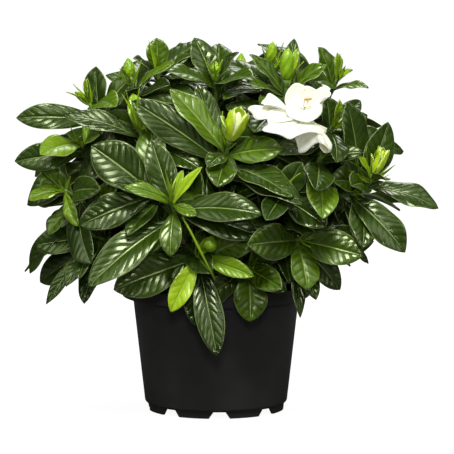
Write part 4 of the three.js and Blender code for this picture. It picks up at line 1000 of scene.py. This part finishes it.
bud_skin, tree, shader = finish("Furled bud")
speckle = use(tree, mottle, Cloud_scale=110.0, Grain_scale=900.0)
furl, opening, edge, cream = (value_of(tree, name) for name in ("furl", "opening", "edge", "cream"))
light = ramp(tree, speckle.outputs["Cloud"], 0.35, 0.7)
colour = blended(tree, light, (0.17, 0.33, 0.006), (0.3, 0.48, 0.01))
seam = product(tree, ramp(tree, furl, 0.0, 0.35, 1.0, 0.0), 0.35)
colour = blended(tree, seam, colour, (0.07, 0.17, 0.006))
ripe = blended(tree, light, (0.4, 0.58, 0.006), (0.56, 0.72, 0.02))
# painted highlight: the opening sheaths are paled at their edges and tips
ripe = blended(tree, edge, ripe, (0.72, 0.82, 0.3))
colour = blended(tree, cream, blended(tree, opening, colour, ripe), (0.8, 0.84, 0.5))
set_up(tree, shader, Base_Color=colour, Normal=bump(tree, speckle.outputs["Grain"], 0.05), Roughness=0.33)


def spindle(foot, way, profile, folds, winds, depth, attributes=None, material=0, sides=30):
    """A turned spindle whose skin is creased into winding folds."""
    across = unit(np.cross(way, UP if abs(way @ UP) < 0.95 else np.array([1.0, 0.0, 0.0])))
    angles = np.linspace(0, 2 * math.pi, sides, endpoint=False)
    outward = spokes(angles, across, np.cross(way, across))
    rows, furls = [], []
    top = profile[-1][1]
    for radius, height in profile:
        wave = (folds * (angles / (2 * math.pi) - winds * height / top)) % 1.0
        reach = radius * (1 - depth + depth * np.minimum(1.0, wave * 1.15) ** 0.6)
        rows.append(foot + way * height + reach[:, None] * outward)
        furls.append(np.minimum(wave, 1 - wave))
    values = {"furl": np.concatenate(furls), **(attributes or {})}
    return shape(np.concatenate(rows), closed_faces(len(rows), sides), values, material)


# The sheaths of an opening bud: bearing from the viewer's side, half the angle that it wraps,
# share of the bud's length, and how far its tip stands out.
SHEATHS = (
    (-50, 54, 1.0, 0.2), (60, 52, 1.0, 0.3), (178, 80, 0.98, 0.15), (-84, 42, 0.66, 0.95),
    (92, 40, 0.88, 0.4),
)
SHEATH_ROWS = 16
SHEATH_COLUMNS = np.linspace(-1, 1, 13)
SHEATH_THICKNESS = 0.7


def opening_bud(foot, way, length, radius, cream):
    """Cream petals still furled, in broad pointed sheaths that part at the front."""
    front = unit(np.array([0.0, -1.0, 0.0]) + way * way[1])
    right = np.cross(way, front)
    t = np.linspace(0, 1, SHEATH_ROWS)
    swell = np.interp(t, [0, 0.08, 0.3, 0.55, 0.8, 1.0], [0.35, 0.55, 0.9, 1.0, 0.86, 0.6])
    core = [(radius * 0.8 * w * (1 - 0.75 * h ** 5), h * length * 0.86) for w, h in zip(swell, t)]
    made = [spindle(foot, way, core, 3, 0.6, 0.16, {"opening": 1.0, "cream": cream})]
    for bearing, wrap, share, out in SHEATHS:
        v, h = SHEATH_COLUMNS[None, :], t[:, None]
        far = np.abs(v)
        half = math.radians(wrap) * (1 - h ** 7) ** 0.7 * (1 - 0.12 * np.sin(3 * h)) + 0.03
        lean = 0.12 * np.sin(5 * h + bearing)
        angle = math.radians(bearing) + half * v + lean
        crimp = 0.8 * np.sin(13 * h + 5 * v + bearing) * far ** 2 + 0.45 * (1 - far) ** 2
        crimp = crimp + 0.25 * np.cos(3 * math.pi * v)
        reach = radius * (0.92 * swell[:, None] + out * h ** 3) + crimp * (0.3 + 0.7 * h)
        around = spokes(angle, front, right)
        height = share * length * (h - 0.05 * far * h ** 2)
        top = foot + height[..., None] * way + reach[..., None] * around
        # painted highlight: how far each point of a sheath takes the pale edge colour
        edge = np.clip((far - 0.72) / 0.28, 0, 1) * np.ones_like(h) + np.clip((h - 0.86) / 0.14, 0, 1)
        values = {"opening": 1.0, "edge": np.clip(edge, 0, 1) * 0.8}
        made.append(thin_shell(top, top - SHEATH_THICKNESS * around, values))
    return made


# A round bud that is still small stands over the crown of the second shoot.
t = np.linspace(0.03, 0.98, 12)
knob = list(zip(5.6 * np.sin(math.pi * t ** 0.85) ** 0.7, 12.5 * t))
knob_foot, knob_way = np.array([-4.5, -109.0, 133.5]), unit(np.array([0.1, -0.1, 1.0]))
knob_skin = {**young_skin, "age": 0.68}
SHOOTS[1]["shapes"].append(spindle(knob_foot, knob_way, knob, 4, 0.3, 0.12, knob_skin))

# By the bud's number: how creamy the petals of the two opening ones are, and which one is fuller
OPENING = {1: 1.0, 3: 0.15}
PLUMP = 2
BUD_ROWS = 22
BUD_HEIGHTS = (0, 0.06, 0.2, 0.4, 0.6, 0.78, 0.92, 1.0)
BUD_SWELL = (0.5, 0.6, 0.86, 1.0, 0.93, 0.66, 0.3, 0.06)
PLUMP_SWELL = (0.55, 0.7, 0.92, 1.0, 0.99, 0.86, 0.55, 0.12)
bud_number = 0
for plan in SHOOTS:
    if plan.get("bud_of_rule"):
        plan["bud"] = (*(plan["crown"] + plan["way"] * RULE_BUD_REACH), RULE_BUD_RADIUS)
    if "bud" not in plan:
        continue
    bud_number += 1
    radius = plan["bud"][3]
    lean = np.array(plan["bud"][:3], float) - plan["crown"]
    length = np.linalg.norm(lean) - CALYX_LENGTH - CLEARANCE
    lean = unit(lean)
    cup = CALYX_LENGTH + CALYX_SUNK
    calyx = [
        (SHOOT_RADIUS * 0.8, 0), (SHOOT_RADIUS, 1), (CALYX_RADIUS * 0.9, cup * 0.6), (CALYX_RADIUS, cup),
        (CALYX_RADIUS * 0.8, cup + 0.1),
    ]
    calyx_foot = plan["crown"] - lean * CALYX_SUNK
    plan["shapes"].append(spindle(calyx_foot, lean, calyx, 6, 0.0, 0.18, {"age": 0.6}, 1))
    t = np.linspace(0, 1, BUD_ROWS)
    body = radius * np.interp(t, BUD_HEIGHTS, PLUMP_SWELL if bud_number == PLUMP else BUD_SWELL)
    foot = plan["crown"] + lean * (CALYX_LENGTH + CLEARANCE)
    name = f"bud_{bud_number:02d}"
    furled = [spindle(foot, lean, list(zip(body, t * length)), folds=5, winds=0.45, depth=0.11)]
    if bud_number in OPENING:
        furled = opening_bud(foot, lean, length, radius, OPENING[bud_number])
    piece(f"furled_{name}", furled, [bud_skin], [name])
for plan in SHOOTS:
    piece("leafy_" + plan["name"], plan["shapes"], [leaf_skin, green_stem], [plan["name"]])

# Flower: one open double bloom. Waxy white petals spread from a trumpet tube: a cupped
# pair with a rounded one before them, folded ones at the left, and broad ones hanging below.
FLOWER_TUBE_LENGTH = 24
THROAT_RADIUS = 5.5
PETAL_THICKNESS = 0.5
PETAL_ROWS = 14
PETAL_EDGE_STEPS = 5
# Each petal: where it leaves the throat, how far it swells towards the front, how deep the painted shade
# in a cream tint is in its hollow, and the points round its edge, from one side of its base to the other.
PETALS = (
    ((65, -86, 237), -2.5, 0.0, [
        (53, -88, 238), (50.5, -86, 241), (51, -84, 246), (54, -81, 251), (58, -79, 254), (63, -79, 253),
        (66, -80, 251), (68, -84, 245),
    ]),
    ((65, -86, 237), -2.5, 0.1, [
        (61, -82, 249), (66, -78.5, 252), (71, -77, 250), (75, -77, 248), (77, -79, 247), (79, -83, 243),
        (78, -88, 238),
    ]),
    ((67, -88, 238), -1.5, 0.35, [
        (71, -84, 248), (76, -83, 251), (79.5, -85, 252), (82.5, -87, 250), (84.5, -89, 248),
        (83.5, -91, 246), (79.5, -92, 245), (77, -91, 241),
    ]),
    ((64, -84, 235), 3.0, 0.0, [
        (52, -90, 244), (51, -94, 239), (53, -98, 234), (59, -101, 231), (66, -103, 230),
        (71, -102, 231), (76, -99, 234), (78, -95, 238), (78, -89, 242),
    ]),
    ((55, -87, 233), 0.8, 0.0, [
        (52, -86, 237), (46.5, -85, 243), (39.5, -84, 248), (36.5, -88, 245), (33.5, -92, 242),
        (35.5, -93, 241), (45.5, -92, 239), (51, -90, 234),
    ]),
    ((57, -86, 233), -1.5, 0.8, [
        (49.5, -85, 238), (42.5, -85, 241), (36.5, -87, 241), (35.5, -89, 237), (44.5, -90, 233),
    ]),
    ((60, -85, 232), 1.2, 0.1, [
        (40.5, -84, 237), (35.5, -84, 238), (30.5, -85, 239), (25.5, -87, 239), (23.5, -90, 237),
        (26.5, -91, 234), (29.5, -93, 230), (37.5, -93, 230), (45.5, -91, 230),
    ]),
    ((62, -88, 231), 1.5, 0.0, [
        (52, -92, 236), (44.5, -94, 237), (38.5, -94, 236), (37.5, -96, 233), (38.5, -100, 227),
        (41.5, -99, 229), (49.5, -99, 228), (58, -98, 228),
    ]),
    ((65, -89, 232), 1.5, 0.0, [
        (57, -99, 230), (48.5, -101, 229), (39.5, -102, 228), (34.5, -104, 224.5), (35.5, -106, 222.5),
        (46.5, -108, 220.5), (54, -109, 217.5), (59, -108, 219.5), (66, -106, 221.5), (72, -104, 221.5),
        (78, -101, 219.5), (77, -99, 222.5), (74, -98, 226), (70, -97, 229),
    ]),
    ((68, -92, 229), 0.5, 0.3, [
        (75, -95, 224.5), (78, -96, 222.5), (81.5, -97, 223.5), (79.5, -97, 220.5), (76, -97, 218.5),
    ]),
    ((66, -91, 229), 1.2, 0.2, [
        (63, -99, 221.5), (58, -100, 217.5), (59, -100, 213.5), (60, -99, 209.5), (61, -98, 205.5),
        (66, -99, 206.5), (71, -101, 211.5), (76, -103, 214.5), (79, -100, 218.5), (75, -96, 221.5),
    ]),
    ((70, -93, 226), 2.0, 0.1, [
        (76, -97, 220.5), (80.5, -97, 217.5), (83.5, -98, 214.5), (85.5, -99, 211.5),
        (84.5, -100, 207.5), (82.5, -103, 209.5), (79.5, -105, 212.5), (76, -104, 214.5),
        (72, -100, 219.5),
    ]),
    ((79, -98, 211.5), -1.5, 1.0, [
        (76, -104, 214.5), (79.5, -105, 212.5), (82.5, -103, 209.5), (84.5, -100, 207.5),
        (79.5, -102, 206.5), (76, -104, 210.5), (76, -104, 213.5),
    ]),
)

petal_skin, tree, shader = finish("Waxy white petal")
speckle = use(tree, mottle, Cloud_scale=60.0, Grain_scale=900.0)
warm = ramp(tree, speckle.outputs["Cloud"], 0.4, 0.75)
colour = blended(tree, product(tree, warm, 0.5), (0.77, 0.78, 0.64), (0.74, 0.75, 0.54))
# painted light: the petals also glow faintly by emission, standing in for light passing through them
set_up(
    tree, shader, Base_Color=blended(tree, value_of(tree, "cream"), colour, (0.62, 0.55, 0.22)),
    Normal=bump(tree, speckle.outputs["Grain"], 0.04), Roughness=0.5, Specular_IOR_Level=0.35,
    Subsurface_Weight=0.35, Subsurface_Radius=(1.0, 0.9, 0.6), Subsurface_Scale=0.004,
    Emission_Color=(0.84, 0.86, 0.66, 1.0), Emission_Strength=0.06)


def through_points(points, steps):
    """A smooth line through points, with a number of steps between each two."""
    p = np.array(points, float)
    p = np.concatenate([[2 * p[0] - p[1]], p, [2 * p[-1] - p[-2]]])
    t = np.linspace(0, 1, steps, endpoint=False)[:, None]
    line = []
    for a, b, c, d in zip(p, p[1:], p[2:], p[3:]):
        curve = 2 * b + (c - a) * t + (2 * a - 5 * b + 4 * c - d) * t ** 2
        line.append(0.5 * (curve + (3 * b - a - 3 * c + d) * t ** 3))
    return np.concatenate(line + [p[-2:-1]])


def petal_shape(base, swell, cream, edge, front):
    """A thin petal spread between its base and its edge."""
    base, edge = np.array(base, float), through_points(edge, PETAL_EDGE_STEPS)
    spread = np.cross(edge[:-1] - base, edge[1:] - base).sum(0)
    normal = unit(spread) * (1 if spread @ front > 0 else -1)
    share = np.linspace(0.08, 1, PETAL_ROWS)[:, None, None]
    dished = 4 * share * (1 - share) - 0.5 * share ** 6
    surface = base + share * (edge - base)[None] + swell * dished * normal
    phase = np.linspace(0, 1, len(edge))[None, :, None]
    surface = surface + 0.35 * share ** 3 * np.sin(18 * phase + base[0]) * normal
    half = PETAL_THICKNESS / 2 * (1 - 0.5 * share ** 4)
    # painted shade: a cream-tinted darkening, as deep as the petal's listed value, and deeper towards the
    # throat
    shade = cream * (1 - 0.75 * share[..., 0] ** 2) + 0.25 * (1 - share[..., 0]) ** 2
    top, bottom = surface + half * normal, surface - half * normal
    if spread @ normal > 0:
        top, bottom = top[:, ::-1], bottom[:, ::-1]
    return thin_shell(top, bottom, {"cream": np.minimum(1, shade)})


flowering = next(plan for plan in SHOOTS if plan.get("flower"))
way = flowering["way"]
tube_foot = flowering["crown"] + way * CLEARANCE
throat = tube_foot + way * FLOWER_TUBE_LENGTH
profile = [
    (1.8, 0), (2.0, 6), (2.4, 12), (3.2, 19), (THROAT_RADIUS, FLOWER_TUBE_LENGTH),
    (THROAT_RADIUS * 0.8, FLOWER_TUBE_LENGTH),
]
bloom = [spindle(tube_foot, way, profile, 6, 0.1, 0.06, {"cream": 0.4})]
for base, swell, cream, edge in PETALS:
    bloom.append(petal_shape(base, swell, cream, edge, way))
style = through_points([throat + way * CLEARANCE, (64, -89, 239), (65, -93, 244)], 4)
bloom.append(tube(style, 0.6, 8, {"cream": 0.1}))
piece("open_petals", bloom, [petal_skin], ["flower_petals"])

stigma_skin = mottled(
    "Tan stigma", 300.0, 1500.0, 0.1, (0.45, 0.26, 0.07), (0.75, 0.5, 0.2), Roughness=0.6)[0]
STIGMA_LINE = ((65, -93, 244), (66.5, -94.5, 244.6), (69, -96, 245), (70.5, -96.5, 245.2))
line = through_points(STIGMA_LINE, 4)
radii = np.interp(np.linspace(0, 1, len(line)), [0, 0.3, 0.8, 1], [0.6, 1.1, 1.0, 0.3])
club = tube(line, radii + 0.15 * bumps(line, 2.0, 40), 10)
piece("stigma_club", [club], [stigma_skin], ["flower_eye"])

# Studio: a white floor that runs far behind the plant, a soft key above the front, a
# small low lamp straight in front, broad ones at both sides and behind, and white surroundings.
floor_white, tree, shader = finish("Studio floor")
cloud = use(tree, mottle, Cloud_scale=4.0, Grain_scale=200.0)
seen = add(tree, "LightPath").outputs["Is Camera Ray"]
place = add(tree, "TexCoord").outputs["Object"]
away = add(tree, "VectorMath", {0: place}, operation="LENGTH").outputs["Value"]
# painted shade: the floor's white glow, which only the camera sees, is dimmer near the plant, darkening the
# floor round the pot
set_up(
    tree, shader, Roughness=ramp(tree, cloud.outputs["Cloud"], 0.0, 1.0, 0.9, 0.95),
    Base_Color=(0.13, 0.13, 0.13, 1.0), Emission_Color=(1.0, 1.0, 1.0, 1.0), Specular_IOR_Level=0.1,
    Emission_Strength=product(tree, seen, ramp(tree, away, 0.1, 0.5, 0.94, 1.0)))
FLOOR_REACH = 12.0
FLOOR_DROP = 0.0002
mesh = bpy.data.meshes.new("studio_floor")
corners = [(x * FLOOR_REACH, y * FLOOR_REACH, -FLOOR_DROP) for x, y in ((-1, -1), (1, -1), (1, 1), (-1, 1))]
mesh.from_pydata(corners, [], [(0, 1, 2, 3)])
mesh.materials.append(floor_white)
floor = bpy.data.objects.new("studio_floor", mesh)
bpy.context.scene.collection.objects.link(floor)


def soft_light(name, place, size, power):
    """A square area light aimed at the middle of the plant."""
    light = bpy.data.lights.new(name, "AREA")
    light.size = size
    light.energy = power
    lamp = bpy.data.objects.new(name, light)
    lamp.location = place
    aim = np.array([0.0, 0.0, 0.16]) - np.array(place)
    pitch = math.atan2(math.hypot(aim[0], aim[1]), -aim[2])
    lamp.rotation_euler = (pitch, 0.0, math.atan2(aim[1], aim[0]) - math.pi / 2)
    bpy.context.scene.collection.objects.link(lamp)


soft_light("key", (0.0, -0.9, 1.4), 0.5, 27.0)
soft_light("front", (0.0, -1.7, 0.6), 0.15, 6.0)
soft_light("left", (-1.2, -0.5, 1.1), 1.1, 9.0)
soft_light("right", (1.2, -0.5, 1.1), 1.1, 7.5)
soft_light("back", (0.2, 0.9, 1.2), 0.6, 8.0)

world = bpy.data.worlds.new("studio")
bpy.context.scene.world = world
world.use_nodes = True
tree = world.node_tree
seen = add(tree, "LightPath").outputs["Is Camera Ray"]
set_up(
    tree, tree.nodes["Background"], Strength=ramp(tree, seen, 0.0, 1.0, 0.1, 1.0),
    Color=blended(tree, seen, (0.7, 0.78, 0.42), (1.0, 1.0, 1.0)))
